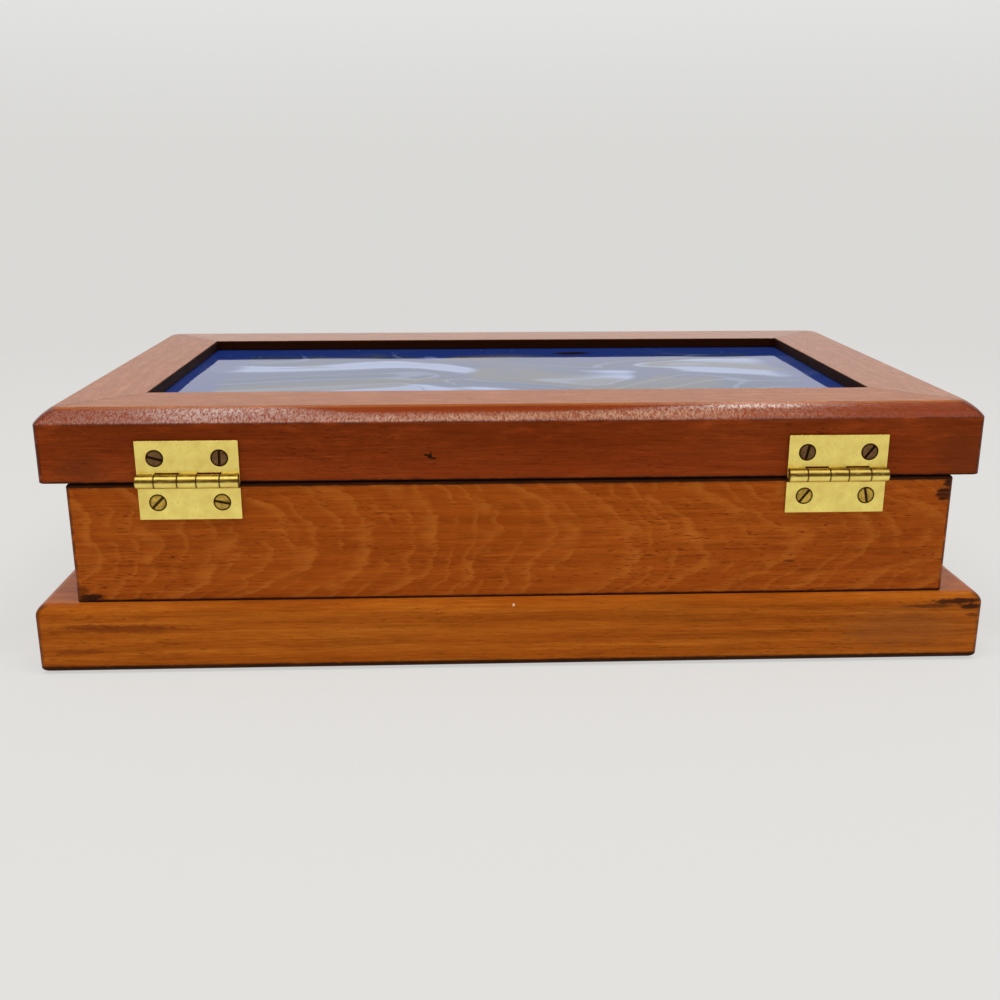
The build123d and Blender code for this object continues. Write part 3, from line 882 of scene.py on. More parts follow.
def slab(name, low, high, cells, top_of, material, round_edge=0.3, bottom_of=None):
    """A thin board or cloth on a grid, whose top and underside may be uneven."""
    bm = bmesh.new()
    columns, rows = cells
    size = high - low

    def layer(height_of, pull):
        grid = []
        for j in range(rows + 1):
            line = []
            for i in range(columns + 1):
                x = low.x + pull + (size.x - 2 * pull) * i / columns
                y = low.y + pull + (size.y - 2 * pull) * j / rows
                line.append(bm.verts.new((x, y, height_of(x, y))))
            grid.append(line)
        return grid

    def rim(grid):
        return (grid[0][:-1] + [line[-1] for line in grid[:-1]] + grid[-1][:0:-1]
                + [line[0] for line in grid[:0:-1]])

    top = layer(top_of, round_edge)
    bottom = layer(bottom_of or (lambda x, y: low.z), round_edge)
    for grid in (top, bottom):
        for line, following in zip(grid, grid[1:]):
            band(bm, line, following, closed=False)
    rings = [rim(top)]
    for share in (0.25, 0.75):
        ring = []
        for upper, lower in zip(rim(top), rim(bottom)):
            x = min(max(upper.co.x, low.x + round_edge * 1.01), high.x - round_edge * 1.01)
            y = min(max(upper.co.y, low.y + round_edge * 1.01), high.y - round_edge * 1.01)
            out = Vector((upper.co.x - x, upper.co.y - y, 0.0))
            if out.length > 0.0:
                out = out.normalized() * round_edge
            ring.append(bm.verts.new(upper.co.lerp(lower.co, share) + out))
        rings.append(ring)
    rings.append(rim(bottom))
    for ring, following in zip(rings, rings[1:]):
        band(bm, ring, following)
    return mesh_object(name, bm, material, 60.0)


def waves(seed, height, lengths):
    """A slow uneven surface: a few sine waves in different directions, with a sum below height."""
    draw = random.Random(seed)
    parts = []
    for length in lengths:
        angle = draw.uniform(0.0, math.pi)
        parts.append((math.cos(angle) * 2 * math.pi / length,
                      math.sin(angle) * 2 * math.pi / length, draw.uniform(0.0, 2 * math.pi)))

    def uneven(x, y):
        return height * sum(math.sin(a * x + b * y + c) for a, b, c in parts) / len(parts)

    return uneven


# Pieces


# The painted contact shadow along the base's lower edge, in millimetres above it: unshaded above,
# and near black below.
BASE_CONTACT_SHADE = (1.9, 1.2)
# The lengths of the slow waves on the panel and on the cloths, in millimetres, and their grids.
GLAZE_WAVES = (61.0, 43.0, 37.0, 29.0)
CLOTH_WAVES = (19.0, 13.0, 11.0, 7.0, 5.3, 4.1)
GLAZE_CELLS = (96, 48)
CLOTH_CELLS = (120, 60)
SCREW_SIDES = 40
HOLE_SIDES = 40
PIN_SIDES = 32
# The sheet of a knuckle curls through this many degrees, in this many steps.
CURL = 293
CURL_STEPS = 30


class TRINKET_OT_base_board(bpy.types.Operator):
    """Adds the base board, with its rounded top edge and eased lower edge"""

    bl_idname = "trinket.base_board"
    bl_label = "Base Board"

    def execute(self, context):
        timber_settings = context.scene.trinket_timber
        top = timber_settings.base_top_round
        bottom = timber_settings.base_bottom_round
        rear = BASE_HIGH.y
        dark = (0.05, 0.012, 0.005)
        reddish = (0.15, 0.022, 0.005)
        spots = [
            ((-114.0, rear, 16.4), (8.0, 3.0, 0.9), 1.5, dark),
            ((-117.5, rear, 15.0), (4.5, 3.0, 1.0), 1.3, dark),
            ((-108.0, rear, 15.2), (10.0, 3.0, 0.8), 0.8, dark),
            ((-118.5, rear, 12.6), (3.0, 3.0, 0.8), 0.7, dark),
            ((99.0, rear, 12.2), (20.0, 3.0, 1.5), 0.75, reddish),
            ((108.0, rear, 12.8), (10.0, 3.0, 0.9), 0.6, reddish),
            ((110.0, rear, 6.0), (9.0, 3.0, 1.0), 0.5, reddish),
            ((0.6, rear, 17.0), (0.45, 2.0, 0.45), 1.4, (0.75, 0.55, 0.35)),
            ((-100.0, rear, 9.0), (24.0, 3.0, 7.5), 0.45, (0.27, 0.085, 0.022)),
        ]
        wood = timber("base_timber", timber_settings.base_colour, "X", (13.0, 4.0, 2.0),
                      (timber_settings.varnish_index, timber_settings.varnish_tint, 0.32),
                      contrast=0.85, pores=0.45, rings=0.5, spots=spots,
                      # Painted contact shadow along the base's foot.
                      grime_and_shade=[tuple(BASE_LOW.z + height for height in BASE_CONTACT_SHADE)],
                      outline=(BASE_LOW, BASE_HIGH), haze=0.10)
        # From the underside, round the lower edge and up to the top: (inset, height, edge).
        stations = [(inset, BASE_LOW.z + rise, 0.6 if inset else 0.5)
                    for _, inset, rise in quarter_round(bottom, 5)][::-1]
        stations += [(0.0, BASE_LOW.z + BASE_CONTACT_SHADE[0], 0.0), (0.0, BASE_HIGH.z - top - 0.8, 0.0)]
        stations += [(inset, BASE_HIGH.z - fall, 0.12 * math.sin(2 * angle))
                     for angle, inset, fall in quarter_round(top, 8)]
        bm = bmesh.new()
        edge_layer = bm.verts.layers.float.new("edge")
        rings = []
        for inset, height, edge in stations:
            ring = []
            radius = timber_settings.corner_round + 0.35 * inset
            for side in range(4):
                for x, y, bend in corner_path(BASE_LOW, BASE_HIGH, side, inset, radius, 4)[:-1]:
                    vertex = bm.verts.new((x, y, height))
                    vertex[edge_layer] = max(edge, min(1.0, 1.6 * bend) if inset < 1.5 else 0.0)
                    ring.append(vertex)
            rings.append(ring)
        for ring, following in zip(rings, rings[1:]):
            band(bm, ring, following)
        bm.faces.new(rings[0])
        bm.faces.new(rings[-1])
        board = weigh_normals(mesh_object("base_board_timber", bm, wood))
        seat(board, "case", "base_board")
        return {"FINISHED"}


class TRINKET_OT_walls(bpy.types.Operator):
    """Adds the four mitred walls of the case"""

    bl_idname = "trinket.walls"
    bl_label = "Walls"

    def execute(self, context):
        timber_settings = context.scene.trinket_timber
        thickness = WALL_HIGH.y - WALL_LOW.y
        easing = timber_settings.wall_top_easing
        section = eased([(0.0, CASE_LOW.z, 0.3), (0.0, CASE_HIGH.z, easing),
                         (thickness, CASE_HIGH.z, easing), (thickness, CASE_LOW.z, 0.0)])
        rear = CASE_HIGH.y
        dark = (0.035, 0.008, 0.004)
        top, bottom = CASE_HIGH.z, CASE_LOW.z
        reddish = (0.12, 0.02, 0.004)
        rear_spots = [
            ((-108.4, rear, top - 4.6), (2.8, 3.0, 2.6), 1.2, dark),
            ((-109.2, rear, top - 1.8), (1.6, 3.0, 1.6), 1.1, dark),
            ((107.0, rear, bottom + 1.2), (4.4, 3.0, 1.5), 1.6, dark),
            ((109.0, rear, bottom + 3.4), (2.0, 3.0, 1.6), 0.6, dark),
            ((96.0, rear, bottom + 0.3), (5.0, 3.0, 0.8), 0.9, dark),
            ((34.0, rear, top - 8.0), (1.6, 3.0, 0.35), 0.8, reddish),
            ((-34.0, rear, top - 20.0), (1.8, 3.0, 0.4), 0.8, reddish),
            ((-70.0, rear, top - 22.0), (2.0, 3.0, 0.4), 0.8, reddish),
        ]
        looks = {
            REAR: ("X", (0.0, 0.0, 0.0), 1.0, rear_spots),
            LEFT: ("Y", (260.0, 30.0, 5.0), 0.5, ()),
            FRONT: ("X", (520.0, 90.0, 0.0), 0.7, ()),
            RIGHT: ("Y", (780.0, -45.0, 3.0), 0.5, ()),
        }
        radius = timber_settings.corner_round - 0.3
        for side, (along, shift, figure, spots) in looks.items():
            node = f"{SIDE_NAMES[side]}_wall"
            wood = timber(f"{node}_timber_finish", timber_settings.wall_colour, along, shift,
                          (timber_settings.varnish_index, timber_settings.varnish_tint, 0.34),
                          contrast=0.8, figure=figure, pores=0.65, rings=0.25, spots=spots,
                          # Painted shade in the seams at the walls' top and foot.
                          grime_and_shade=[(top - 1.05, top - 0.65), (bottom + 0.85, bottom + 0.45)],
                          outline=(CASE_LOW, CASE_HIGH))
            wall = mitred_stick(f"{node}_timber", CASE_LOW, CASE_HIGH, side, section,
                                lambda inset: radius if inset < thickness / 2 else 0.3,
                                timber_settings.mitre_gap, wood)
            seat(wall, "case", node)
        return {"FINISHED"}


class TRINKET_OT_lid_frame(bpy.types.Operator):
    """Adds the lid's four mitred rails, with their moulding, lip and rabbet"""

    bl_idname = "trinket.lid_frame"
    bl_label = "Lid Frame"

    def execute(self, context):
        timber_settings = context.scene.trinket_timber
        width = RAIL_HIGH.y - RAIL_LOW.y
        lip = width - timber_settings.rabbet
        under_lip = PANEL_HIGH.z
        inset = timber_settings.moulding_inset
        drop = timber_settings.moulding_drop
        arris = Vector((0.0, LID_HIGH.z - drop))
        crown = Vector((inset, LID_HIGH.z))
        chord = crown - arris
        sag = math.sqrt(timber_settings.moulding_radius ** 2 - chord.length_squared / 4)
        centre = (arris + crown) / 2 + Vector((chord.y, -chord.x)).normalized() * sag
        corners = [(0.0, LID_LOW.z, 0.3), (arris.x, arris.y, 1.0)]
        steps = 7
        for step in range(1, steps):
            towards = (arris - centre).lerp(crown - centre, step / steps)
            towards = towards.normalized() * timber_settings.moulding_radius
            corners.append((*(centre + towards), 0.0))
        corners += [(crown.x, crown.y, 1.4), (width, LID_HIGH.z, 0.35), (width, under_lip, 0.15),
                    (lip, under_lip, 0.0), (lip, LID_LOW.z, 0.3)]
        section = eased(corners)

        def radius_of(reach):
            if reach > inset + 0.5:
                return 0.3
            return timber_settings.corner_round + 0.5 * reach

        rear = LID_HIGH.y
        bottom = LID_LOW.z
        rear_spots = [
            ((21.2, rear, bottom + 6.0), (0.75, 2.0, 0.75), 2.2, SHADE_DIRT_AND_HOLE),
            ((20.3, rear, bottom + 5.6), (1.2, 2.0, 0.36), 1.8, SHADE_DIRT_AND_HOLE),
            ((22.0, rear, bottom + 6.5), (0.9, 2.0, 0.34), 1.6, SHADE_DIRT_AND_HOLE),
            ((21.0, rear, bottom + 6.7), (0.34, 2.0, 0.8), 1.6, SHADE_DIRT_AND_HOLE),
            ((-112.0, rear, bottom + 5.0), (9.0, 3.0, 9.0), 0.55, (0.11, 0.024, 0.007)),
            ((106.0, rear, bottom + 3.5), (9.0, 3.0, 5.0), 0.50, (0.10, 0.022, 0.008)),
            ((88.0, rear, bottom + 10.6), (18.0, 3.0, 2.0), 0.40, (0.12, 0.016, 0.005)),
        ]
        looks = {
            REAR: ("X", (40.0, 120.0, -90.0), rear_spots, 0.27),
            LEFT: ("Y", (333.0, -70.0, -90.0), (), 0.64),
            FRONT: ("X", (610.0, -12.0, -90.0), (), 1.0),
            RIGHT: ("Y", (870.0, 65.0, -90.0), (), 0.40),
        }
        for side, (along, shift, spots, share) in looks.items():
            node = f"lid_{SIDE_NAMES[side]}_rail"
            wood = timber(f"{node}_timber_finish", timber_settings.lid_colour, along, shift,
                          (timber_settings.varnish_index, timber_settings.varnish_tint, 0.30),
                          contrast=0.8, pores=0.55, rings=0.3, spots=spots,
                          # Painted shade in the seam along the lid's lower edge.
                          grime_and_shade=[(bottom + 0.55, bottom + 0.20)], outline=(LID_LOW, LID_HIGH),
                          inner_edge=width,
                          polish=(arris.y, crown.y, timber_settings.lid_polish * share))
            rail = mitred_stick(f"{node}_timber", LID_LOW, LID_HIGH, side, section, radius_of,
                                timber_settings.mitre_gap, wood)
            seat(rail, "lid", node)
        return {"FINISHED"}


class TRINKET_OT_panel(bpy.types.Operator):
    """Adds the glossy panel that lies in the lid's frame, and finishes its plywood backing"""

    bl_idname = "trinket.panel"
    bl_label = "Panel"

    def execute(self, context):
        settings = context.scene.trinket_panel
        uneven = waves(5, settings.wave_height, GLAZE_WAVES)
        top = PANEL_HIGH.z - settings.wave_height
        panel = slab("lid_panel_glaze", PANEL_LOW, PANEL_HIGH, GLAZE_CELLS,
                     lambda x, y: top + uneven(x, y), marbled_glaze(settings))
        seat(panel, "lid", "lid_panel")
        backing = frame["nodes"]["lid_backing"]
        backing.data.materials.clear()
        backing.data.materials.append(plywood())
        return {"FINISHED"}


def screw_template(hinges):
    """One slotted countersunk screw at the origin. Its head faces +Y and its slot lies along X."""
    head = hinges.head_diameter / 2 - 0.08
    length = SCREWS_HIGH.y - SCREWS_LOW.y
    shank = 1.05
    profile = [(0.0, 0.0), (0.5, 0.0), (1.0, 0.0), (1.4, 0.0), (head - 0.35, 0.0),
               (head - 0.08, -0.03), (head, -0.11), (head - 0.1, -0.22),
               (shank, -1.25), (shank, 2.0 - length), (0.0, -length)]
    bm = bmesh.new()
    lathe(bm, profile, SCREW_SIDES)
    screw = mesh_object("screw_template", bm, bpy.data.materials["bronzed_brass"])
    cutter_bm = bmesh.new()
    bmesh.ops.create_cube(cutter_bm, size=1.0)
    slot = (2.4 * hinges.head_diameter, 0.9, hinges.slot_width)
    bmesh.ops.scale(cutter_bm, vec=slot, verts=cutter_bm.verts)
    cutter = mesh_object("slot_cutter", cutter_bm, bpy.data.materials["bronzed_brass"])
    cut = screw.modifiers.new("slot", "BOOLEAN")
    cut.object = cutter
    cut.operation = "DIFFERENCE"
    cut.solver = "EXACT"
    soften = screw.modifiers.new("rims", "BEVEL")
    soften.width = 0.05 * MM
    soften.segments = 2
    soften.limit_method = "ANGLE"
    soften.angle_limit = math.radians(40)
    soften.harden_normals = True
    settle(screw)
    bpy.data.objects.remove(cutter)
    # Dirt lies in the slot and round the rim.
    dirt = screw.data.attributes.new("edge", "FLOAT", "POINT")
    for vertex, value in zip(screw.data.vertices, dirt.data):
        radius = math.hypot(vertex.co.x, vertex.co.z) / MM
        in_rim = (radius - head + 0.40) / 0.30
        value.value = 1.0 if vertex.co.y < -0.06 * MM else min(max(in_rim, 0.0), 1.0)
    return screw


class TRINKET_OT_screws(bpy.types.Operator):
    """Adds the eight slotted screws of the hinges, and finishes the screws under the base"""

    bl_idname = "trinket.screws"
    bl_label = "Hinge Screws"

    def execute(self, context):
        hinges = context.scene.trinket_hinges
        stain = (0.022, 0.010, 0.004)
        mottled = {"mottle": 0.9, "spread": 0.45, "rim": 0.92, "scratch": 0.3}
        bronzed = brass("bronzed_brass", hinges.bronzed_colour, 0.40, stain, 0.6, **mottled)
        tarnished = brass("tarnished_brass", hinges.tarnished_colour, 0.40, stain, 0.8, **mottled)
        tree = repeat_tree("screw_row", [("First Turn", "NodeSocketFloat"),
                                         ("Second Turn", "NodeSocketFloat")])
        template = screw_template(hinges)
        # The first turn is that of the screw nearer to -X.
        turns = {("left", "lid"): (53, 78), ("left", "body"): (-78, 53),
                 ("right", "lid"): (88, -15), ("right", "body"): (-12, 45)}
        for (side, part), (first, second) in turns.items():
            node = f"hinge_{side}_{part}_screws"
            upper = part == "lid"
            body, slot = ("lid", "bronzed_screws") if upper else ("case", "brass_screws")
            screws = bpy.data.objects.new(f"{node}_brass", template.data.copy())
            context.scene.collection.objects.link(screws)
            height = AXIS.z + (hinges.screw_distance if upper else -hinges.screw_distance)
            middle = Vector((HINGE_MIDDLES[side], SCREWS_HIGH.y, height)) * MM
            repeated(screws, tree, count=2, spacing=hinges.screw_spacing * MM, middle=middle,
                     first_turn=math.radians(first), second_turn=math.radians(second),
                     material=bronzed if upper else tarnished)
            seat(screws, body, node)
        bpy.data.objects.remove(template)
        base_screws = frame["nodes"]["base_screws"]
        base_screws.data.materials.clear()
        base_screws.data.materials.append(steel())
        return {"FINISHED"}


def leaf_plate(name, fingers, notch, hinges):
    """The flat of a hinge leaf, from its fingers to its far edge, pierced for two screws. It lies
    in the XY plane with the hinge's axis along X, and its far edge at +Y, in millimetres."""
    reach = LEAF_HIGH.z - AXIS.z
    half = (LEAF_HIGH.x - LEAF_LOW.x) / 2
    corner = 0.2
    bevel = 0.1
    outline = []
    for start, end in fingers:
        outline += [(start, notch), (start, 0.3), (end, 0.3), (end, notch)]
    if fingers[0][0] <= -half + 0.01:
        outline = outline[1:-1]
    else:
        outline = [(-half, notch)] + outline + [(half, notch)]
    for middle_x, first in ((half - corner, 0), (corner - half, 90)):
        for step in range(5):
            angle = math.radians(first + 90 * step / 4)
            outline.append((middle_x + corner * math.cos(angle),
                            reach - corner + corner * math.sin(angle)))
    curve = bpy.data.curves.new(name, "CURVE")
    curve.dimensions = "2D"
    curve.fill_mode = "BOTH"
    curve.extrude = hinges.leaf_thickness / 2 - bevel
    curve.bevel_depth = bevel
    curve.offset = -bevel
    curve.bevel_resolution = 2
    hole = hinges.head_diameter / 2 + 0.05
    angles = [math.radians(360 - 360 / HOLE_SIDES * k) for k in range(HOLE_SIDES)]
    loops = [outline]
    for centre_x in (-hinges.screw_spacing / 2, hinges.screw_spacing / 2):
        loops.append([(centre_x + hole * math.cos(angle),
                       hinges.screw_distance + hole * math.sin(angle)) for angle in angles])
    for points in loops:
        spline = curve.splines.new("POLY")
        spline.points.add(len(points) - 1)
        for point, (x, y) in zip(spline.points, points):
            point.co = (x, y, 0.0, 1.0)
        spline.use_cyclic_u = True
    drawn = bpy.data.objects.new(name, curve)
    bpy.context.scene.collection.objects.link(drawn)
    bpy.context.view_layer.update()
    graph = bpy.context.evaluated_depsgraph_get()
    mesh = bpy.data.meshes.new_from_object(drawn.evaluated_get(graph))
    bpy.data.objects.remove(drawn)
    bm = bmesh.new()
    bm.from_mesh(mesh)
    bpy.data.meshes.remove(mesh)
    return bm


def knuckle(length, hinges, material):
    """One rolled knuckle at the origin, round the X axis. Its sheet comes down behind the pin from
    +Z, and curls under, out and over it."""
    outer = LEAF_HIGH.y - AXIS.y
    offset = AXIS.y - LEAF_LOW.y
    inner = outer - hinges.leaf_thickness
    angles = [math.radians(180 + CURL * k / CURL_STEPS) for k in range(CURL_STEPS + 1)]
    half = length / 2
    # Each ring has its place along X, how far it is pulled in at the rims, and its dirt.
    steps = [(-half, 0.09, 1.0), (0.09 - half, 0.0, 0.9), (0.30 - half, 0.0, 0.0),
             (half - 0.30, 0.0, 0.0), (half - 0.09, 0.0, 0.9), (half, 0.09, 1.0)]
    bm = bmesh.new()
    edge_layer = bm.verts.layers.float.new("edge")
    rings = []
    for x, pull, dirt in steps:
        outer_points = [(pull - offset, 1.25)]
        inner_points = [(hinges.leaf_thickness - offset - pull, 1.25)]
        for angle in angles:
            for points, radius in ((outer_points, outer - pull), (inner_points, inner + pull)):
                points.append((radius * math.cos(angle), radius * math.sin(angle)))
        ring = []
        for points in (outer_points, inner_points):
            line = []
            for y, z in points:
                vertex = bm.verts.new((x, y, z))
                vertex[edge_layer] = dirt
                line.append(vertex)
            ring.append(line)
        rings.append(ring)
    for (outer_a, inner_a), (outer_b, inner_b) in zip(rings, rings[1:]):
        band(bm, outer_a + inner_a[::-1], outer_b + inner_b[::-1])
    for outer_line, inner_line in (rings[0], rings[-1]):
        band(bm, outer_line, inner_line, closed=False)
    return mesh_object("knuckle", bm, material, 40.0)


class TRINKET_OT_hinges(bpy.types.Operator):
    """Adds both leaves and the pin of each butt hinge, with their rolled knuckles"""

    bl_idname = "trinket.hinges"
    bl_label = "Hinges"

    def execute(self, context):
        hinges = context.scene.trinket_hinges
        metal = brass("bright_brass", hinges.brass_colour, 0.40, (0.13, 0.065, 0.012), 0.25,
                      barrel=(AXIS, LEAF_HIGH.y - AXIS.y))
        tree = repeat_tree("knuckle_row", [])
        pitch = hinges.lid_knuckle + hinges.body_knuckle + 2 * hinges.knuckle_gap
        # The plate is notched this far from the axis, so that the other leaf's knuckles turn free.
        notch = LEAF_HIGH.y - AXIS.y + 0.2
        for side, middle_x in HINGE_MIDDLES.items():
            for part, body, count, length in (("lid", "lid", 3, hinges.lid_knuckle),
                                              ("body", "case", 2, hinges.body_knuckle)):
                node = f"hinge_{side}_{part}_leaf"
                knuckles = knuckle(length, hinges, metal)
                repeated(knuckles, tree, count=count, spacing=pitch * MM,
                         middle=Vector((0.0, 0.0, 0.0)), material=metal)
                first = -(count - 1) / 2 * pitch
                # The plate's fingers are a hair narrower than the knuckles.
                fingers = []
                for k in range(count):
                    middle = first + pitch * k
                    fingers.append((middle - length / 2 + 0.01, middle + length / 2 - 0.01))
                bm = leaf_plate(f"{node}_plate", fingers, notch, hinges)
                # The plate is drawn lying down, and is stood up behind the axis.
                back = LEAF_LOW.y - AXIS.y + hinges.leaf_thickness / 2
                stand = Matrix(((1, 0, 0, 0), (0, 0, 1, back), (0, 1, 0, 0), (0, 0, 0, 1)))
                bmesh.ops.transform(bm, matrix=stand, verts=bm.verts)
                # The plate's back half is darkened, which paints shade along its side walls.
                edge_layer = bm.verts.layers.float.new("edge")
                for vertex in bm.verts:
                    vertex[edge_layer] = 1.0 if vertex.co.y < back else 0.0
                # The row of knuckles is in metres.
                rolled = bmesh.new()
                rolled.from_mesh(knuckles.data)
                bmesh.ops.scale(rolled, vec=(1 / MM, 1 / MM, 1 / MM), verts=rolled.verts)
                rolled.to_mesh(knuckles.data)
                rolled.free()
                bm.from_mesh(knuckles.data)
                bpy.data.objects.remove(knuckles)
                if part == "body":
                    bmesh.ops.scale(bm, vec=(1, 1, -1), verts=bm.verts)
                bmesh.ops.translate(bm, vec=(middle_x, AXIS.y, AXIS.z), verts=bm.verts)
                leaf = mesh_object(f"{node}_brass", bm, metal, 35.0)
                seat(leaf, body, node)
            length = PIN_HIGH.x - PIN_LOW.x
            radius = (PIN_HIGH.z - PIN_LOW.z) / 2
            bm = bmesh.new()
            lathe(bm, [(0.0, 0.0), (radius * 0.5, 0.04), (radius * 0.85, 0.14), (radius, 0.3),
                       (radius, length - 0.3), (radius * 0.85, length - 0.14),
                       (radius * 0.5, length - 0.04), (0.0, length)], PIN_SIDES)
            bmesh.ops.rotate(bm, cent=(0, 0, 0), matrix=Matrix.Rotation(-math.pi / 2, 3, "Z"),
                             verts=bm.verts)
            bmesh.ops.translate(bm, vec=(middle_x - length / 2, AXIS.y, AXIS.z), verts=bm.verts)
            pin = mesh_object(f"hinge_{side}_pin_brass", bm, metal, 35.0)
            seat(pin, "case", f"hinge_{side}_pin")
        return {"FINISHED"}


class TRINKET_OT_linings(bpy.types.Operator):
    """Adds the felt on the floor and in the lid, and the baize under the base"""

    bl_idname = "trinket.linings"
    bl_label = "Linings"

    def execute(self, context):
        linings = context.scene.trinket_linings
        wool = felt("lining_wool", linings.felt_colour)
        baize = felt("green_baize", linings.baize_colour)
        # Each cloth ends with what carries it, its uneven face and the rounding of its rim.
        cloths = [("floor_lining", "case", "lining_felt", wool, "base_board_timber", "top", 0.3),
                  ("lid_lining", "lid", "lining_felt", wool, "lid_backing", "bottom", 0.3),
                  ("base_baize", "case", "baize", baize, "base_board_timber", "top", 0.15)]
        for number, (node, body, slot, cloth, carrier, face, rounding) in enumerate(cloths):
            low, high = box_mm(node)
            nap = linings.nap if high.z - low.z > 1.0 else linings.nap * 0.3
            uneven = waves(linings.seed + number, nap, CLOTH_WAVES)
            top_of, bottom_of = lambda x, y: high.z - nap + uneven(x, y), None
            if face == "bottom":
                top_of, bottom_of = lambda x, y: high.z, lambda x, y: low.z + nap + uneven(x, y)
            sheet = slab(f"{node}_wool", low, high, CLOTH_CELLS, top_of, cloth, rounding, bottom_of)
            seat(sheet, body, node)
        return {"FINISHED"}


# Colours of the backdrop above the horizon, and of the dim room overhead that only gloss shows.
LOW_SKY = (0.77, 0.77, 0.765)
HIGH_SKY = (0.82, 0.81, 0.795)
OVERHEAD = (0.20, 0.14, 0.09)
# How far the softbox hangs askew.
SLANT = 1.4
# Each window: middle along X, half widths where it is gone and full, near end along Y, and share.
WINDOWS = ((-0.258, 0.05, 0.015, 0.05, 1.5), (0.20, 0.08, 0.03, 0.80, 0.55))
# The floor fades into the backdrop between these distances, in metres.
FLOOR_FADE = (0.35, 0.85)
FLOOR_RADIUS = 1.0
LAMP_COLOUR = (1.0, 0.99, 0.97)
LAMP_BEHIND = 0.25
LAMP_HEIGHT = 0.8
LAMP_AIM = (0.0, 0.03, 0.03)


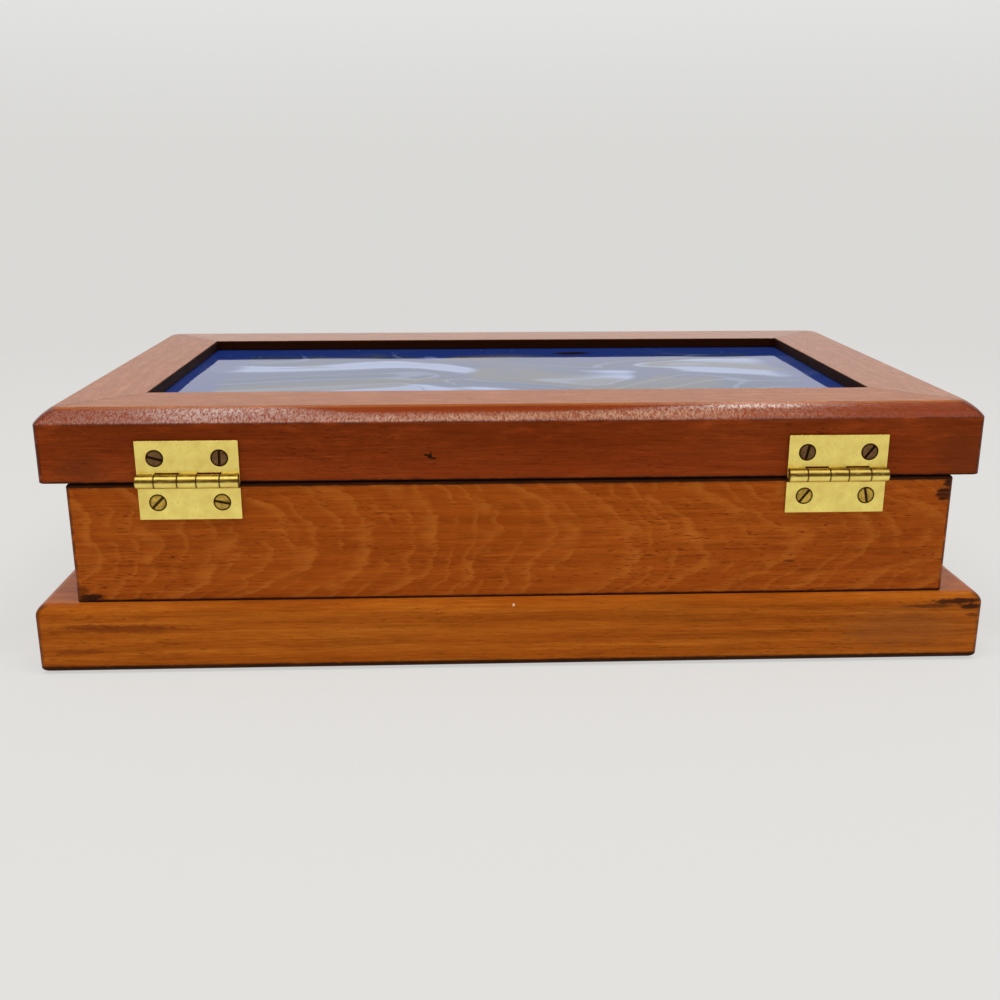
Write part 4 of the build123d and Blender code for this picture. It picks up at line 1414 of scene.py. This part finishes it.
class TRINKET_OT_stage(bpy.types.Operator):
    """Adds the plain floor, the soft studio light and the camera"""

    bl_idname = "trinket.stage"
    bl_label = "Stage"

    def execute(self, context):
        settings = context.scene.trinket_stage
        scene = context.scene
        material, nodes = new_material("pale_floor")
        place = nodes.add("ShaderNodeTexCoord", output=3)
        distance = nodes.vector("LENGTH", place, output=1)
        surface = nodes.add("ShaderNodeBsdfDiffuse", None, {"Color": opaque(settings.floor_colour)})
        pale = nodes.add("ShaderNodeEmission", None, {"Color": opaque(settings.floor_colour)})
        lit = nodes.add("ShaderNodeMixShader", None,
                        {0: seen_rays(nodes) * settings.floor_paleness, 1: surface, 2: pale})
        clear = nodes.add("ShaderNodeBsdfTransparent")
        faded = nodes.add("ShaderNodeMixShader", None,
                          {0: distance.step(*FLOOR_FADE), 1: lit, 2: clear})
        nodes.add("ShaderNodeOutputMaterial", None, {"Surface": faded})
        bm = bmesh.new()
        bmesh.ops.create_circle(bm, cap_ends=True, segments=96, radius=FLOOR_RADIUS / MM)
        floor = mesh_object("floor", bm, material)

        world = bpy.data.worlds.new("studio")
        scene.world = world
        world.use_nodes = True
        sky = Nodes(world.node_tree)
        direction = sky.add("ShaderNodeTexCoord", output=0)
        x, y, z = sky.split(direction)
        backdrop = sky.ramp(z.step(0.0, 0.24), (0.0, settings.backdrop_colour), (0.6, LOW_SKY),
                            (1.0, HIGH_SKY))
        path = sky.add("ShaderNodeLightPath")
        glossy = Wire(sky, path.socket.node.outputs["Is Glossy Ray"])
        # The softbox hangs askew, so its mirror image climbs the moulding from end to end.
        askew = y - x * SLANT
        softbox = (askew.step(0.18, 0.36) * askew.step(0.92, 0.76) * y.step(0.78, 0.66)
                   * z.step(0.40, 0.55) * x.step(0.22, 0.10) * x.step(-0.33, -0.22))
        backdrop = sky.mix(z.step(0.35, 0.60) * y.step(0.45, 0.30) * glossy * 0.75, backdrop,
                           opaque(OVERHEAD))
        backdrop = sky.mix(softbox * glossy, backdrop, opaque(settings.softbox_light))
        # Two narrow windows give the moulding its brightest spots.
        for middle, soft, hard, near, share in WINDOWS:
            window = (abs(x - middle).step(soft, hard) * y.step(-0.75, -0.58)
                      * y.step(near, near - 0.20) * z.step(0.20, 0.40))
            shine = opaque(tinted(settings.window_light, share))
            backdrop = sky.mix(window * glossy, backdrop, shine)
        light = sky.mix(seen_rays(sky), opaque((settings.sky_light,) * 3), backdrop)
        surface = sky.add("ShaderNodeBackground", None, {"Color": light, "Strength": 1.0})
        sky.add("ShaderNodeOutputWorld", None, {"Surface": surface})

        lamps = [("overhead_lamp_1", -0.30, (0.36, 0.26), settings.lamp_power),
                 ("overhead_lamp_2", 0.25, (0.36, 0.26), settings.lamp_power),
                 ("overhead_strip", 0.0, (0.90, 0.12), settings.strip_power)]
        for name, x_place, (length, breadth), power in lamps:
            lamp = bpy.data.lights.new(name, "AREA")
            lamp.shape = "RECTANGLE" if name == "overhead_strip" else "ELLIPSE"
            lamp.size = length
            lamp.size_y = breadth
            lamp.energy = power
            lamp.color = LAMP_COLOUR
            holder = bpy.data.objects.new(name, lamp)
            holder.location = (x_place, LAMP_BEHIND, LAMP_HEIGHT)
            holder.visible_glossy = False
            towards = Vector(LAMP_AIM) - holder.location
            holder.rotation_euler = towards.to_track_quat("-Z", "Y").to_euler()
            scene.collection.objects.link(holder)

        camera = bpy.data.cameras.new("camera")
        camera.sensor_width = 36.0
        camera.lens = settings.lens
        camera.clip_start = 0.01
        camera.clip_end = 50.0
        viewer = bpy.data.objects.new("camera", camera)
        pitch, yaw = settings.camera_pitch, settings.camera_yaw
        forward = Vector((math.sin(yaw) * math.cos(pitch), -math.cos(yaw) * math.cos(pitch),
                          -math.sin(pitch)))
        right = Vector((-math.cos(yaw), -math.sin(yaw), 0.0))
        up = right.cross(forward)
        turned = Matrix((right, up, -forward)).transposed().to_4x4()
        viewer.matrix_world = Matrix.Translation(Vector(settings.camera_place)) @ turned
        scene.collection.objects.link(viewer)
        scene.camera = viewer
        scene.view_settings.view_transform = "Standard"
        return {"FINISHED"}


STEPS = [TRINKET_OT_base_board, TRINKET_OT_walls, TRINKET_OT_lid_frame, TRINKET_OT_panel,
         TRINKET_OT_hinges, TRINKET_OT_screws, TRINKET_OT_linings, TRINKET_OT_stage]


class TRINKET_PT_panel(bpy.types.Panel):
    """Lists the steps that build the trinket box, and their settings"""

    bl_idname = "TRINKET_PT_panel"
    bl_label = "Trinket Box"
    bl_space_type = "VIEW_3D"
    bl_region_type = "UI"
    bl_category = "Trinket Box"

    def draw(self, context):
        for step in STEPS:
            self.layout.operator(step.bl_idname)
        for name in SETTINGS:
            group = getattr(context.scene, name)
            box = self.layout.box()
            for setting in group.bl_rna.properties:
                if setting.identifier not in ("name", "rna_type"):
                    box.prop(group, setting.identifier)


SETTINGS = {"trinket_timber": TimberSettings, "trinket_panel": PanelSettings,
            "trinket_hinges": HingeSettings, "trinket_linings": LiningSettings,
            "trinket_stage": StageSettings}


def register():
    for name, group in SETTINGS.items():
        bpy.utils.register_class(group)
        setattr(bpy.types.Scene, name, PointerProperty(type=group))
    for step in STEPS:
        bpy.utils.register_class(step)
    bpy.utils.register_class(TRINKET_PT_panel)


def unregister():
    bpy.utils.unregister_class(TRINKET_PT_panel)
    for step in reversed(STEPS):
        bpy.utils.unregister_class(step)
    for name, group in SETTINGS.items():
        delattr(bpy.types.Scene, name)
        bpy.utils.unregister_class(group)


def main():
    """Builds every piece in order."""
    register()
    bpy.ops.trinket.base_board()
    bpy.ops.trinket.walls()
    bpy.ops.trinket.lid_frame()
    bpy.ops.trinket.panel()
    bpy.ops.trinket.hinges()
    bpy.ops.trinket.screws()
    bpy.ops.trinket.linings()
    bpy.ops.trinket.stage()


if __name__ == "__main__":
    main()
